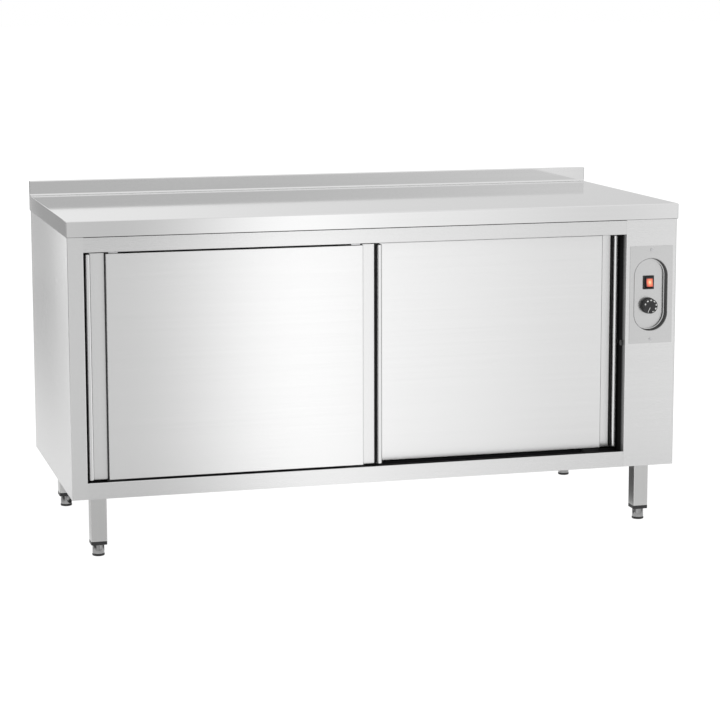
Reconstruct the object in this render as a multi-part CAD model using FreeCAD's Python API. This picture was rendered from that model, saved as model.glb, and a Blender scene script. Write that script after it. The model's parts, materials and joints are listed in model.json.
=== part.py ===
import FreeCAD, Part

import math
import os

# Plate warmer cabinet: a heated stainless cupboard under a worktop, with two hanging sliding doors.
# Sizes are in millimetres. +X runs to the right along the front, +Y to the rear and +Z up.
# The origin lies on the floor, under the middle of the worktop.

# Overall size
cabinet_width = 1600.0
cabinet_depth = 700.0
worktop_height = 850.0
apron_height = 40.0
upstand_height = 40.0
upstand_thickness = 12.0
leg_zone_height = 157.0

# How far the body stands in from the worktop's edges
side_inset = 2.0
front_inset = 5.0
rear_inset = 7.0

# Front frame
stile_width = 40.0
control_box_width = 140.0
top_rail_height = 38.5
bottom_rail_height = 41.0

# Sheet metal
worktop_sheet = 1.2
body_sheet = 1.2
liner_sheet = 1.0
door_sheet = 1.0
bend_radius = 1.0
worktop_edge_radius = 2.5
worktop_corner_radius = 2.0
worktop_hem_radius = 1.0
upstand_cove_radius = 5.0
apron_hem = 12.0
side_panel_return = 20.0
box_side_return = 20.0
top_rail_hem = 6.0
base_flange = 25.0
seam_gap = 0.4
overrun = 10.0

# Heated compartment
rear_wall_thickness = 22.0
ceiling_thickness = 25.0
floor_insulation_lift = 8.5
sill_lip_depth = 6.0
guide_trough_depth = 12.0
rail_floor_flange = 15.0

# Sliding doors
door_thickness = 32.0
door_setback = 5.0
door_spacing = 4.0
door_rear_space = 5.0
door_overlap = 100.0
door_end_gap = 5.0
door_top_gap = 4.0
door_bottom_gap = 4.0
door_edge_radius = 2.0
core_inset_share = 0.4

# Handle channel at each upright edge of a door
handle_lip_width = 12.5
left_door_channel_width = 37.5
right_door_channel_width = 32.5
handle_channel_depth = 16.0
handle_lip_radius = 5.0
handle_end_radius = 3.0

# Top track, rollers and hangers
track_height = 27.9
track_wall = 1.8
track_end_gap = 1.0
roller_radius = 10.0
roller_width = 8.0
roller_groove_depth = 0.8
roller_side_gap = 0.7
roller_seat_gap = 0.3
axle_radius = 3.0
axle_clearance = 0.05
axle_head_radius = 4.8
axle_head_length = 2.0
axle_end_gap = 0.5
track_wall_gap = 0.6
hanger_plate = 2.5
hanger_width = 23.0
hanger_base_depth = 24.0
hanger_base_thickness = 3.0
hanger_inset = 69.0
hanger_crown = 7.0
hanger_slot_gap = 2.5
hanger_bolt_head_radius = 3.5
hanger_bolt_head_height = 2.8
hanger_bolt_radius = 2.0
bolt_clearance = 0.1

# Bottom guides and door buffers
guide_rib = 2.0
guide_rib_height = 11.0
guide_base_width = 16.0
guide_base_thickness = 2.0
shoe_length = 46.0
shoe_width = 16.0
shoe_floor_gap = 2.0
shoe_rib_gap = 0.5
shoe_slot_headroom = 1.0
shoe_corner_radius = 2.0
buffer_radius = 7.0
buffer_gap = 0.3
buffer_height_share = 0.5

# Intermediate shelf
shelf_sheet = 1.2
shelf_edge = 30.0
shelf_top_height = 482.0
shelf_side_gap = 2.0
shelf_front_gap = 15.0
shelf_rear_gap = 15.0
shelf_edge_radius = 2.2
upright_width = 25.0
upright_depth = 8.0
upright_sheet = 1.2
upright_end_gap = 14.0
upright_front_offset = 60.0
upright_rear_offset = 60.0
upright_slot_pitch = 50.0
upright_slot_width = 12.0
upright_slot_height = 4.0
clip_width = 18.0
clip_plate = 3.0
clip_reach = 20.0
clip_height = 22.0

# Control panel
control_plate_width = 119.0
control_plate_height = 256.0
control_plate_thickness = 1.5
control_plate_drop = 198.0
control_plate_corner_radius = 1.0
recess_width = 91.0
recess_height = 189.0
recess_depth = 20.0
recess_wall = 1.5
recess_clearance = 0.6
recess_mouth_radius = 4.0
recess_floor_radius = 3.0
plate_screw_spacing = 236.0
plate_screw_radius = 2.0
plate_screw_length = 8.0
plate_screw_head_radius = 4.2
plate_screw_head_height = 2.2
screw_slot_width = 1.0
screw_slot_depth = 0.9

# Rocker switch
switch_rise = 30.0
bezel_width = 30.0
bezel_height = 36.0
bezel_thickness = 2.5
bezel_radius = 1.5
switch_body_width = 25.0
switch_body_height = 31.0
switch_body_depth = 24.0
switch_pocket_width = 20.6
switch_pocket_height = 29.0
switch_pocket_depth = 15.0
rocker_side_gap = 0.4
rocker_half_height = 12.4
rocker_back_half_height = 8.0
rocker_back_depth = 6.0
rocker_front_reach = 13.0
rocker_dish = 2.0
rocker_pivot_depth = 6.0
rocker_pin_radius = 1.5
rocker_pin_length = 1.2
rocker_pin_clearance = 0.05
rocker_tilt = 9.0
switch_hole_clearance = 0.3
switch_terminal_width = 6.3
switch_terminal_thickness = 0.8
switch_terminal_length = 9.0
switch_terminal_spacing = 9.0

# Thermostat and its knob
thermostat_drop = 31.0
thermostat_body_width = 46.0
thermostat_body_height = 40.0
thermostat_body_depth = 32.0
thermostat_shaft_radius = 3.0
thermostat_shaft_clearance = 0.05
thermostat_shaft_depth = 20.0
knob_radius = 21.0
knob_height = 18.0
knob_floor_gap = 1.5
knob_edge_radius = 1.5
knob_bore_depth = 13.0
knob_skirt_height = 4.0
knob_grip_inset = 1.2

# Heating unit in the control box
fan_centre_height = 482.0
fan_centre_depth = 60.0
shroud_size = 300.0
shroud_depth = 60.0
shroud_sheet = 1.0
shroud_flange = 12.0
fan_radius = 85.0
fan_blade_width = 28.0
fan_blade_depth = 30.0
fan_blade_thickness = 1.2
fan_blade_count = 16
fan_back_plate = 1.5
fan_hub_radius = 12.0
fan_hub_length = 26.0
fan_wall_gap = 8.0
fan_shaft_radius = 4.0
fan_shaft_clearance = 0.05
fan_shaft_hole_gap = 2.0
motor_radius = 42.0
motor_length = 58.0
motor_flange_size = 96.0
motor_flange_thickness = 3.0
motor_bearing_depth = 45.0
motor_screw_spacing = 78.0
motor_screw_radius = 2.5
motor_screw_head_radius = 4.5
motor_screw_head_height = 3.0
heater_ring_radius = 112.0
heater_tube_radius = 4.2
heater_bend_radius = 14.0
heater_wall_gap = 20.0
heater_leg_length = 22.0
heater_open_angle = 50.0
heater_hole_gap = 0.3

# Air slots in the partition and the rear panel
intake_slot_count = 9
intake_slot_height = 6.0
intake_slot_pitch = 15.0
intake_radius = 70.0
outlet_slot_count = 10
outlet_slot_height = 8.0
outlet_slot_width = 30.0
outlet_slot_pitch = 24.0
outlet_offset = 115.0
cooling_slot_count = 8
cooling_slot_height = 4.0
cooling_slot_width = 80.0
cooling_slot_pitch = 14.0
cooling_slot_drop = 120.0

# Terminal block and cable gland
terminal_width = 60.0
terminal_depth = 28.0
terminal_height = 24.0
terminal_screw_count = 5
terminal_screw_radius = 3.0
terminal_screw_depth = 4.0
terminal_rear_gap = 150.0
gland_bore_radius = 6.0
gland_thread_radius = 9.5
gland_collar_radius = 13.0
gland_collar_height = 5.0
gland_cap_radius = 11.5
gland_cap_height = 12.0
gland_inner_height = 10.0
gland_nut_radius = 13.0
gland_nut_height = 4.0
gland_terminal_gap = 44.4
gland_clearance = 0.1

# Legs and adjustable feet
leg_size = 40.0
leg_wall = 1.5
leg_corner_radius = 3.0
leg_side_offset = 74.0
leg_front_offset = 66.0
leg_plate_width = 90.0
leg_plate_depth = 56.0
leg_plate_thickness = 4.0
leg_bolt_width_spacing = 68.0
leg_bolt_depth_spacing = 22.0
leg_bolt_radius = 4.0
leg_bolt_head_radius = 7.5
leg_bolt_head_height = 5.3
leg_nut_height = 6.0
leg_bolt_tail = 1.0
plug_flange_height = 9.0
plug_insert_height = 25.0
plug_clearance = 0.2
foot_top_gap = 0.5
foot_height = 30.0
foot_pad_height = 5.5
foot_radius = 15.2
foot_top_radius = 14.6
foot_pad_radius = 15.7
foot_pad_edge = 1.2
foot_stem_radius = 5.0
foot_stem_length = 62.0
foot_stem_clearance = 0.08

# Rear panel and track screws
panel_screw_count = 5
panel_screw_radius = 2.0
panel_screw_head_radius = 4.2
panel_screw_head_height = 2.2
panel_screw_length = 8.0
panel_screw_end_gap = 60.0
track_screw_count = 6
track_screw_end_gap = 80.0
track_screw_radius = 1.5
track_screw_head_radius = 2.9
track_screw_head_height = 2.0

# Body planes
body_left = -cabinet_width / 2 + side_inset
body_right = cabinet_width / 2 - side_inset
body_front = -cabinet_depth / 2 + front_inset
body_rear = cabinet_depth / 2 - rear_inset
body_bottom = leg_zone_height
body_top = worktop_height - apron_height
inner_left = body_left + body_sheet
inner_right = body_right - body_sheet
inner_front = body_front + body_sheet
rear_panel_front = body_rear - 2 * body_sheet
base_top = body_bottom + body_sheet
base_flange_top = body_bottom + base_flange

# Opening in the front and the pocket that the doors run in
opening_left = body_left + stile_width
opening_right = body_right - control_box_width
opening_top = body_top - top_rail_height
opening_bottom = body_bottom + bottom_rail_height
opening_width = opening_right - opening_left
pocket_depth = door_setback + 2 * door_thickness + door_spacing + door_rear_space
pocket_rear = body_front + pocket_depth

# Compartment planes
compartment_rear = body_rear - 2 * body_sheet - rear_wall_thickness
floor_underside = opening_bottom - liner_sheet
ceiling_height = body_top - ceiling_thickness
rail_flange_underside = floor_underside - body_sheet

# Doors
door_width = (opening_width + door_overlap) / 2 - door_end_gap
door_bottom = opening_bottom + door_bottom_gap
door_top = opening_top - door_top_gap
left_door_x = opening_left + door_end_gap
right_door_x = opening_right - door_end_gap - door_width
front_door_y = body_front + door_setback
rear_door_y = front_door_y + door_thickness + door_spacing
door_middle = door_thickness / 2
hanger_places = [hanger_inset, door_width - hanger_inset]
front_door_middle = front_door_y + door_middle
rear_door_middle = rear_door_y + door_middle

# Track
track_top = body_top - body_sheet
track_bottom = track_top - track_height
track_lip_top = track_bottom + track_wall
axle_height = track_lip_top + roller_seat_gap + roller_radius
roller_near_side = hanger_plate / 2 + roller_side_gap
roller_far_side = roller_near_side + roller_width
axle_head_start = roller_far_side + axle_end_gap
axle_end = axle_head_start + axle_head_length
track_half_width = axle_end + track_wall_gap
track_slot_half = hanger_plate / 2 + hanger_slot_gap
track_screw_depth = (front_door_middle + rear_door_middle) / 2

# Guides
trough_floor = opening_bottom - guide_trough_depth
guide_rib_top = trough_floor + guide_rib_height
shoe_bottom = trough_floor + guide_base_thickness + shoe_floor_gap
buffer_height = door_bottom + (door_top - door_bottom) * buffer_height_share
buffer_length = door_end_gap - buffer_gap

# Shelf
upright_left_face = opening_left + upright_depth
upright_right_face = opening_right - upright_depth
shelf_left = upright_left_face + shelf_side_gap
shelf_right = upright_right_face - shelf_side_gap
shelf_front = pocket_rear + shelf_front_gap
shelf_rear = compartment_rear - shelf_rear_gap
shelf_underside = shelf_top_height - shelf_edge
upright_places = [pocket_rear + upright_front_offset, compartment_rear - upright_rear_offset]
upright_bottom = opening_bottom + upright_end_gap
upright_top = ceiling_height - upright_end_gap

# Control panel
control_x = (opening_right + body_right) / 2
control_z = body_top - control_plate_drop
plate_front = body_front - control_plate_thickness
recess_floor = plate_front + recess_depth
recess_back = recess_floor + recess_wall
mouth_rear_radius = recess_mouth_radius - control_plate_thickness
plate_screw_places = [control_z - plate_screw_spacing / 2, control_z + plate_screw_spacing / 2]
switch_z = control_z + switch_rise
bezel_front = recess_floor - bezel_thickness
rocker_pivot_y = bezel_front + rocker_pivot_depth
thermostat_z = control_z - thermostat_drop
knob_back = recess_floor - knob_floor_gap
knob_front = knob_back - knob_height
shaft_front = knob_back - knob_bore_depth
shaft_rear = recess_back + thermostat_shaft_depth

# Heating unit
partition_face = opening_right + body_sheet
shroud_back = partition_face + shroud_depth
fan_centre_y = fan_centre_depth
fan_centre_z = fan_centre_height
fan_start = partition_face + fan_wall_gap
fan_plate_start = fan_start + fan_blade_depth
motor_start = shroud_back
motor_end = motor_start + motor_flange_thickness + motor_length
shaft_end = motor_start + motor_bearing_depth
heater_plane = shroud_back - heater_wall_gap

# Gland and terminal block
gland_x = (partition_face + inner_right) / 2
terminal_y = rear_panel_front - body_sheet - terminal_rear_gap
gland_y = terminal_y - terminal_depth / 2 - gland_nut_radius - gland_terminal_gap

# Legs
leg_x = cabinet_width / 2 - leg_side_offset
leg_y = cabinet_depth / 2 - leg_front_offset
leg_places = [(-leg_x, -leg_y), (leg_x, -leg_y), (-leg_x, leg_y), (leg_x, leg_y)]
leg_names = ["front_left", "front_right", "rear_left", "rear_right"]
leg_top = body_bottom - leg_plate_thickness
leg_bottom = foot_height + plug_flange_height

os.makedirs("parts", exist_ok=True)


def block(x_span, y_span, z_span):
    """Straight block between three pairs of limits."""
    corner = FreeCAD.Vector(x_span[0], y_span[0], z_span[0])
    size = (x_span[1] - x_span[0], y_span[1] - y_span[0], z_span[1] - z_span[0])
    return Part.makeBox(size[0], size[1], size[2], corner)


def about(middle, size):
    """Limits of a stretch of the given size about its middle."""
    return (middle - size / 2, middle + size / 2)


def rod(radius, length, start, axis):
    """Cylinder from a start point along an axis."""
    return Part.makeCylinder(radius, length, FreeCAD.Vector(*start), FreeCAD.Vector(*axis))


def hexagon(radius, height, start):
    """Upright six-sided prism on a start point, with its corners at the radius."""
    middle = FreeCAD.Vector(*start)
    sides = 6
    corners = []
    for index in range(sides + 1):
        angle = 2 * math.pi * index / sides
        corners.append(middle + FreeCAD.Vector(math.cos(angle), math.sin(angle), 0) * radius)
    return Part.Face(Part.makePolygon(corners)).extrude(FreeCAD.Vector(0, 0, height))


def joined(shapes):
    """One solid made of shapes that meet."""
    return shapes[0].multiFuse(shapes[1:]).removeSplitter()


def without(shape, cutters):
    """The shape with all the cutters taken out of it."""
    return shape.cut(Part.makeCompound(cutters))


def moved(shape, x, y, z):
    """Copy of a shape at another place."""
    copy = shape.copy()
    copy.translate(FreeCAD.Vector(x, y, z))
    return copy


def rounded_edges(shape, radius, wanted):
    """Fillet every edge whose two end points satisfy the wanted test."""
    picked = []
    for edge in shape.Edges:
        ends = [vertex.Point for vertex in edge.Vertexes]
        if len(ends) == 2 and wanted(ends[0], ends[1]):
            picked.append(edge)
    return shape.makeFillet(radius, picked)


def same(first, second):
    """True where two coordinates agree to within the kernel's rounding."""
    return math.isclose(first, second, rel_tol=1e-9, abs_tol=1e-6)


def direction(start, end):
    """Unit vector in the plane from one point to another."""
    length = math.hypot(end[0] - start[0], end[1] - start[1])
    return ((end[0] - start[0]) / length, (end[1] - start[1]) / length)


def left_offset(points, distance):
    """The same bent line, moved to its own left by a distance."""
    moved_points = []
    last = len(points) - 1
    for index, point in enumerate(points):
        before = direction(points[max(index - 1, 0)], points[max(index, 1)])
        after = direction(points[min(index, last - 1)], points[min(index + 1, last)])
        normals = ((-before[1], before[0]), (-after[1], after[0]))
        spread = 1 + normals[0][0] * normals[1][0] + normals[0][1] * normals[1][1]
        step_u = (normals[0][0] + normals[1][0]) * distance / spread
        step_v = (normals[0][1] + normals[1][1]) * distance / spread
        moved_points.append((point[0] + step_u, point[1] + step_v))
    return moved_points


def turns_left(before, here, after):
    """True where the line turns left at a point."""
    into = direction(before, here)
    out = direction(here, after)
    return into[0] * out[1] - into[1] * out[0] > 0


def bent_line(points, radii, place):
    """Edges of a line through points, with an arc at each inner point."""
    edges = []
    start = points[0]
    for index in range(1, len(points) - 1):
        here = points[index]
        into = direction(points[index - 1], here)
        out = direction(here, points[index + 1])
        cross = abs(into[0] * out[1] - into[1] * out[0])
        dot = into[0] * out[0] + into[1] * out[1]
        half_turn = math.atan2(cross, dot) / 2
        radius = radii[index]
        setback = radius * math.tan(half_turn)
        arc_start = (here[0] - into[0] * setback, here[1] - into[1] * setback)
        arc_end = (here[0] + out[0] * setback, here[1] + out[1] * setback)
        inward = direction(into, out)
        reach = radius / math.cos(half_turn) - radius
        arc_middle = (here[0] + inward[0] * reach, here[1] + inward[1] * reach)
        edges.append(Part.LineSegment(place(start), place(arc_start)).toShape())
        edges.append(Part.Arc(place(arc_start), place(arc_middle), place(arc_end)).toShape())
        start = arc_end
    edges.append(Part.LineSegment(place(start), place(points[-1])).toShape())
    return edges


def in_plan(point):
    """Point of a profile drawn in X and Y."""
    return FreeCAD.Vector(point[0], point[1], 0)


def in_side_view(point):
    """Point of a profile drawn in Y and Z."""
    return FreeCAD.Vector(0, point[0], point[1])


def folded_sheet(points, thickness, place, start, end):
    """Sheet folded along a line of points, lying to the left of it, pushed out from start to end."""
    inner_points = left_offset(points, thickness)
    outer_radii = [0]
    inner_radii = [0]
    for index in range(1, len(points) - 1):
        left = turns_left(points[index - 1], points[index], points[index + 1])
        outer_radii.append(bend_radius + thickness if left else bend_radius)
        inner_radii.append(bend_radius if left else bend_radius + thickness)
    outer_radii.append(0)
    inner_radii.append(0)
    edges = bent_line(points, outer_radii, place)
    edges.append(Part.LineSegment(place(points[-1]), place(inner_points[-1])).toShape())
    edges.extend(bent_line(inner_points[::-1], inner_radii[::-1], place))
    edges.append(Part.LineSegment(place(inner_points[0]), place(points[0])).toShape())
    face = Part.Face(Part.Wire(edges))
    if place is in_plan:
        axis = FreeCAD.Vector(0, 0, 1)
    else:
        axis = FreeCAD.Vector(1, 0, 0)
    sheet = face.extrude(axis * (end - start))
    sheet.translate(axis * start)
    return sheet


def stadium(width, height, y_span, grow):
    """Upright slot shape with round ends about the control panel's middle."""
    radius = width / 2 + grow
    straight = height / 2 - width / 2
    depth = y_span[1] - y_span[0]
    middle = block(about(control_x, 2 * radius), y_span, about(control_z, 2 * straight))
    low = rod(radius, depth, (control_x, y_span[0], control_z - straight), (0, 1, 0))
    high = rod(radius, depth, (control_x, y_span[0], control_z + straight), (0, 1, 0))
    return joined([middle, low, high])


def pan_screw(head_radius, head_height, radius, length, start, axis):
    """Screw whose head stands on its seat at start, with its shank along the axis."""
    seat = FreeCAD.Vector(*start)
    along = FreeCAD.Vector(*axis)
    shank = Part.makeCylinder(radius, length, seat, along)
    head = Part.makeCylinder(head_radius, head_height, seat - along * head_height, along)
    across = screw_slot_width / 2
    tip = seat - along * (head_height - screw_slot_depth)
    slot = Part.makeBox(2 * head_radius, screw_slot_width, screw_slot_depth)
    slot.translate(FreeCAD.Vector(-head_radius, -across, 0))
    slot.Placement = FreeCAD.Placement(tip, FreeCAD.Rotation(FreeCAD.Vector(0, 0, -1), along)) * slot.Placement
    return joined([head, shank]).cut(slot)


def save(name, shapes):
    """Write one node: a single solid, or a group of separate solids."""
    group = shapes if isinstance(shapes, list) else [shapes]
    solids = []
    for shape in group:
        solids.extend(shape.Solids)
    node = solids[0] if len(solids) == 1 else Part.makeCompound(solids)
    node.exportStep("parts/" + name + ".step")
    volume = sum(solid.Volume for solid in solids)
    valid = all(solid.isValid() and solid.isClosed() for solid in solids)
    print(name, len(solids), "solids", round(volume), "mm3", "valid" if valid else "NOT VALID")


# Worktop

def worktop_skin():
    """Folded top with its apron, a bottom hem and the hollow upstand along the rear edge."""
    front = -cabinet_depth / 2
    rear = cabinet_depth / 2
    half_width = cabinet_width / 2
    upstand_front = rear - upstand_thickness
    upstand_top = worktop_height + upstand_height
    outline = [
        (front, body_top),
        (front, worktop_height),
        (upstand_front, worktop_height),
        (upstand_front, upstand_top),
        (rear, upstand_top),
        (rear, body_top),
    ]
    edge = worktop_edge_radius
    radii = [0, edge, upstand_cove_radius, edge, edge, 0]
    edges = bent_line(outline, radii, in_side_view)
    edges.append(Part.LineSegment(in_side_view(outline[-1]), in_side_view(outline[0])).toShape())
    solid = Part.Face(Part.Wire(edges)).extrude(FreeCAD.Vector(cabinet_width, 0, 0))
    solid.translate(FreeCAD.Vector(-half_width, 0, 0))

    def end_outline(first, second):
        at_end = same(first.x, second.x) and same(abs(first.x), half_width)
        at_bottom = same(first.z, body_top) and same(second.z, body_top)
        return at_end and not at_bottom

    def bottom_outline(first, second):
        return same(first.z, body_top) and same(second.z, body_top)

    solid = rounded_edges(solid, worktop_corner_radius, end_outline)
    solid = rounded_edges(solid, worktop_hem_radius, bottom_outline)
    sheet = worktop_sheet
    hollow = block(
        (-half_width + sheet, half_width - sheet),
        (front + sheet, rear - sheet),
        (body_top + sheet, worktop_height - sheet),
    )
    upstand_hollow = block(
        (-half_width + sheet, half_width - sheet),
        (upstand_front + sheet, rear - sheet),
        (body_top + sheet, upstand_top - sheet),
    )
    hem = sheet + apron_hem
    mouth = block(
        (-half_width + hem, half_width - hem),
        (front + hem, rear - hem),
        (body_top - overrun, body_top + 2 * sheet),
    )
    return solid.cut(hollow).cut(upstand_hollow).cut(mouth)


def worktop_core():
    """Board that stiffens and deadens the worktop."""
    sheet = worktop_sheet
    return block(
        (-cabinet_width / 2 + sheet, cabinet_width / 2 - sheet),
        (-cabinet_depth / 2 + sheet, cabinet_depth / 2 - sheet),
        (body_top + sheet, worktop_height - sheet),
    )


def track_screw_places():
    """Places along the track of the screws that hold it."""
    first = opening_left + track_screw_end_gap
    last = opening_right - track_screw_end_gap
    pitch = (last - first) / (track_screw_count - 1)
    return [first + pitch * index for index in range(track_screw_count)]


def track_screw_hole(x):
    """Hole for one track screw through the track's web and the rail's flange."""
    start = (x, track_screw_depth, track_top - track_wall - overrun)
    length = overrun + track_wall + body_sheet + bolt_clearance
    return rod(track_screw_radius + bolt_clearance, length, start, (0, 0, 1))


# Body panels

def left_side_panel():
    """Outer left wall with the front stile and a rear return. The jamb is folded beside the opening only."""
    line = [
        (body_left + side_panel_return, body_rear),
        (body_left, body_rear),
        (body_left, body_front),
        (opening_left, body_front),
    ]
    jamb_line = line + [(opening_left, pocket_rear)]
    sheet = joined([
        folded_sheet(line, body_sheet, in_plan, body_bottom, opening_bottom),
        folded_sheet(jamb_line, body_sheet, in_plan, opening_bottom, opening_top),
        folded_sheet(line, body_sheet, in_plan, opening_top, body_top),
    ])
    return without(sheet, [panel_screw_hole(x, z) for x, z in panel_screw_places()])


def right_side_panel():
    """Outer right wall behind the control box front."""
    line = [
        (body_right, body_front + box_side_return + seam_gap),
        (body_right, body_rear),
        (body_right - side_panel_return, body_rear),
    ]
    sheet = folded_sheet(line, body_sheet, in_plan, body_bottom, body_top)
    holes = [panel_screw_hole(x, z) for x, z in panel_screw_places()]
    return without(sheet, holes)


def panel_screw_places():
    """Places of the rear panel's screws on the side panels' returns."""
    first = body_bottom + panel_screw_end_gap
    last = body_top - panel_screw_end_gap
    pitch = (last - first) / (panel_screw_count - 1)
    inset = side_panel_return / 2
    heights = [first + pitch * index for index in range(panel_screw_count)]
    return [(x, z) for x in (body_left + inset, body_right - inset) for z in heights]


def panel_screw_hole(x, z):
    """Hole for one rear panel screw."""
    start = (x, rear_panel_front - overrun, z)
    length = body_rear - rear_panel_front + 2 * overrun
    return rod(panel_screw_radius + bolt_clearance, length, start, (0, 1, 0))


def rear_panel():
    """Flat rear wall inside the side panels' returns, with slots that cool the control box."""
    sheet = block(
        (inner_left + bend_radius + seam_gap, inner_right - bend_radius - seam_gap),
        (rear_panel_front, rear_panel_front + body_sheet),
        (body_bottom, body_top),
    )
    cutters = [panel_screw_hole(x, z) for x, z in panel_screw_places()]
    middle = (partition_face + inner_right) / 2
    for index in range(cooling_slot_count):
        z = body_top - cooling_slot_drop - cooling_slot_pitch * index
        y_span = (rear_panel_front - overrun, body_rear + overrun)
        cutters.append(block(about(middle, cooling_slot_width), y_span, about(z, cooling_slot_height)))
    return without(sheet, cutters)


def base_panel():
    """Bottom tray with its edges folded up, and the holes for the leg bolts and the gland."""
    outer = block((inner_left, inner_right), (inner_front, rear_panel_front), (body_bottom, base_flange_top))
    inner = block(
        (inner_left + body_sheet, inner_right - body_sheet),
        (inner_front + body_sheet, rear_panel_front - body_sheet),
        (base_top, base_flange_top + overrun),
    )

    def folded_edge(first, second):
        upright = same(first.x, second.x) and same(first.y, second.y)
        at_top = max(first.z, second.z) > base_flange_top
        return upright or (same(first.z, second.z) and not at_top and first.z < base_flange_top)

    outer = rounded_edges(outer, bend_radius + body_sheet, folded_edge)
    inner = rounded_edges(inner, bend_radius, folded_edge)
    cutters = [leg_bolt_hole(x, y) for x, y in leg_bolt_places()]
    gland_hole = (gland_x, gland_y, body_bottom - overrun)
    cutters.append(rod(gland_thread_radius + gland_clearance, 2 * overrun, gland_hole, (0, 0, 1)))
    return without(outer.cut(inner), cutters)


def top_rail():
    """Folded rail over the doors, with a flange that carries the track."""
    line = [
        (pocket_rear, body_top),
        (body_front, body_top),
        (body_front, opening_top),
        (body_front + top_rail_hem, opening_top),
    ]
    rail = folded_sheet(line, body_sheet, in_side_view, opening_left, opening_right)
    return without(rail, [track_screw_hole(x) for x in track_screw_places()])


def bottom_rail():
    """Folded rail under the doors: front face, sill lip, guide trough and floor flange."""
    lip_rear = body_front + sill_lip_depth
    line = [
        (pocket_rear + rail_floor_flange, floor_underside),
        (pocket_rear, floor_underside),
        (pocket_rear, trough_floor),
        (lip_rear, trough_floor),
        (lip_rear, opening_bottom),
        (body_front, opening_bottom),
        (body_front, body_bottom),
    ]
    return folded_sheet(line, body_sheet, in_side_view, opening_left, opening_right)


def control_box_front():
    """Front of the control box with its jamb and side return, cut out for the control panel and over the base."""
    line = [
        (opening_right, pocket_rear),
        (opening_right, body_front),
        (body_right, body_front),
        (body_right, body_front + box_side_return),
    ]
    sheet = folded_sheet(line, body_sheet, in_plan, body_bottom, body_top)
    base_corner = block(
        about(opening_right, 2 * overrun),
        (inner_front, pocket_rear + overrun),
        (body_bottom - overrun, base_flange_top + seam_gap),
    )
    y_span = (body_front - overrun, body_front + overrun)
    cup_space = stadium(recess_width, recess_height, y_span, recess_wall + mouth_rear_radius + recess_clearance)
    cutters = [base_corner, cup_space]
    for z in plate_screw_places:
        start = (control_x, body_front - overrun, z)
        cutters.append(rod(plate_screw_radius + bolt_clearance, 2 * overrun, start, (0, 1, 0)))
    return without(sheet, cutters)


def partition_panel():
    """Wall between the compartment and the control box, with intake and outlet slots."""
    sheet = block(
        (opening_right, partition_face),
        (pocket_rear + seam_gap, rear_panel_front - body_sheet - bend_radius - seam_gap),
        (base_top, body_top),
    )
    x_span = (opening_right - overrun, partition_face + overrun)
    cutters = []
    for index in range(intake_slot_count):
        rise = (index - (intake_slot_count - 1) / 2) * intake_slot_pitch
        chord = 2 * math.sqrt(intake_radius ** 2 - rise ** 2)
        z_span = about(fan_centre_z + rise, intake_slot_height)
        cutters.append(block(x_span, about(fan_centre_y, chord), z_span))
    for side in (-1, 1):
        for index in range(outlet_slot_count):
            rise = (index - (outlet_slot_count - 1) / 2) * outlet_slot_pitch
            y_span = about(fan_centre_y + side * outlet_offset, outlet_slot_width)
            cutters.append(block(x_span, y_span, about(fan_centre_z + rise, outlet_slot_height)))
    return without(sheet, cutters)


# Compartment lining

def compartment_floor():
    """Loose floor plate of the compartment."""
    return block(
        (opening_left + seam_gap, opening_right - seam_gap),
        (pocket_rear, compartment_rear - seam_gap),
        (floor_underside, opening_bottom),
    )


def left_liner():
    """Inner left wall, flush with the jamb."""
    return block(
        (opening_left - liner_sheet, opening_left),
        (pocket_rear + seam_gap, compartment_rear + liner_sheet),
        (floor_underside, body_top),
    )


def rear_liner():
    """Inner rear wall."""
    return block(
        (opening_left + seam_gap, opening_right - seam_gap),
        (compartment_rear, compartment_rear + liner_sheet),
        (floor_underside, ceiling_height),
    )


def ceiling_liner():
    """Inner ceiling with a front flange behind the track."""
    line = [
        (pocket_rear, body_top),
        (pocket_rear, ceiling_height),
        (compartment_rear + liner_sheet, ceiling_height),
    ]
    return folded_sheet(line, liner_sheet, in_side_view, opening_left + seam_gap, opening_right - seam_gap)


def insulation_slabs():
    """Mineral wool slabs under the floor, in the left wall, behind the rear wall and over the ceiling."""
    lining_x = (opening_left + seam_gap, opening_right - seam_gap)
    clear_bend = bend_radius + body_sheet
    floor = block(
        (inner_left + body_sheet + seam_gap, opening_right - seam_gap),
        (pocket_rear + clear_bend, compartment_rear),
        (base_top + floor_insulation_lift, rail_flange_underside),
    )
    left = block(
        (inner_left + clear_bend, opening_left - body_sheet),
        (inner_front + clear_bend, rear_panel_front - panel_screw_length),
        (rail_flange_underside, body_top),
    )
    rear = block(
        lining_x,
        (compartment_rear + liner_sheet, rear_panel_front),
        (base_flange_top + seam_gap, body_top),
    )
    ceiling = block(
        lining_x,
        (pocket_rear + liner_sheet + clear_bend, compartment_rear),
        (ceiling_height + liner_sheet, body_top),
    )
    return [floor, left, rear, ceiling]


# Door track and guides

def door_track():
    """Twin channel that the rollers of both doors run in."""
    x_span = (opening_left + track_end_gap, opening_right - track_end_gap)
    outer = track_half_width + track_wall
    body = block(
        x_span,
        (front_door_middle - outer, rear_door_middle + outer),
        (track_bottom, track_top),
    )
    long_span = (x_span[0] - overrun, x_span[1] + overrun)
    between = block(
        long_span,
        (front_door_middle + outer, rear_door_middle - outer),
        (track_bottom - overrun, track_top - track_wall),
    )
    cutters = [between]
    for middle in (front_door_middle, rear_door_middle):
        z_span = (track_lip_top, track_top - track_wall)
        cutters.append(block(long_span, about(middle, 2 * track_half_width), z_span))
        cutters.append(block(long_span, about(middle, 2 * track_slot_half), (track_bottom - overrun, z_span[1])))
    cutters.extend(track_screw_hole(x) for x in track_screw_places())
    track = body
    for cutter in cutters:
        track = track.cut(cutter)
    return track


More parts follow.
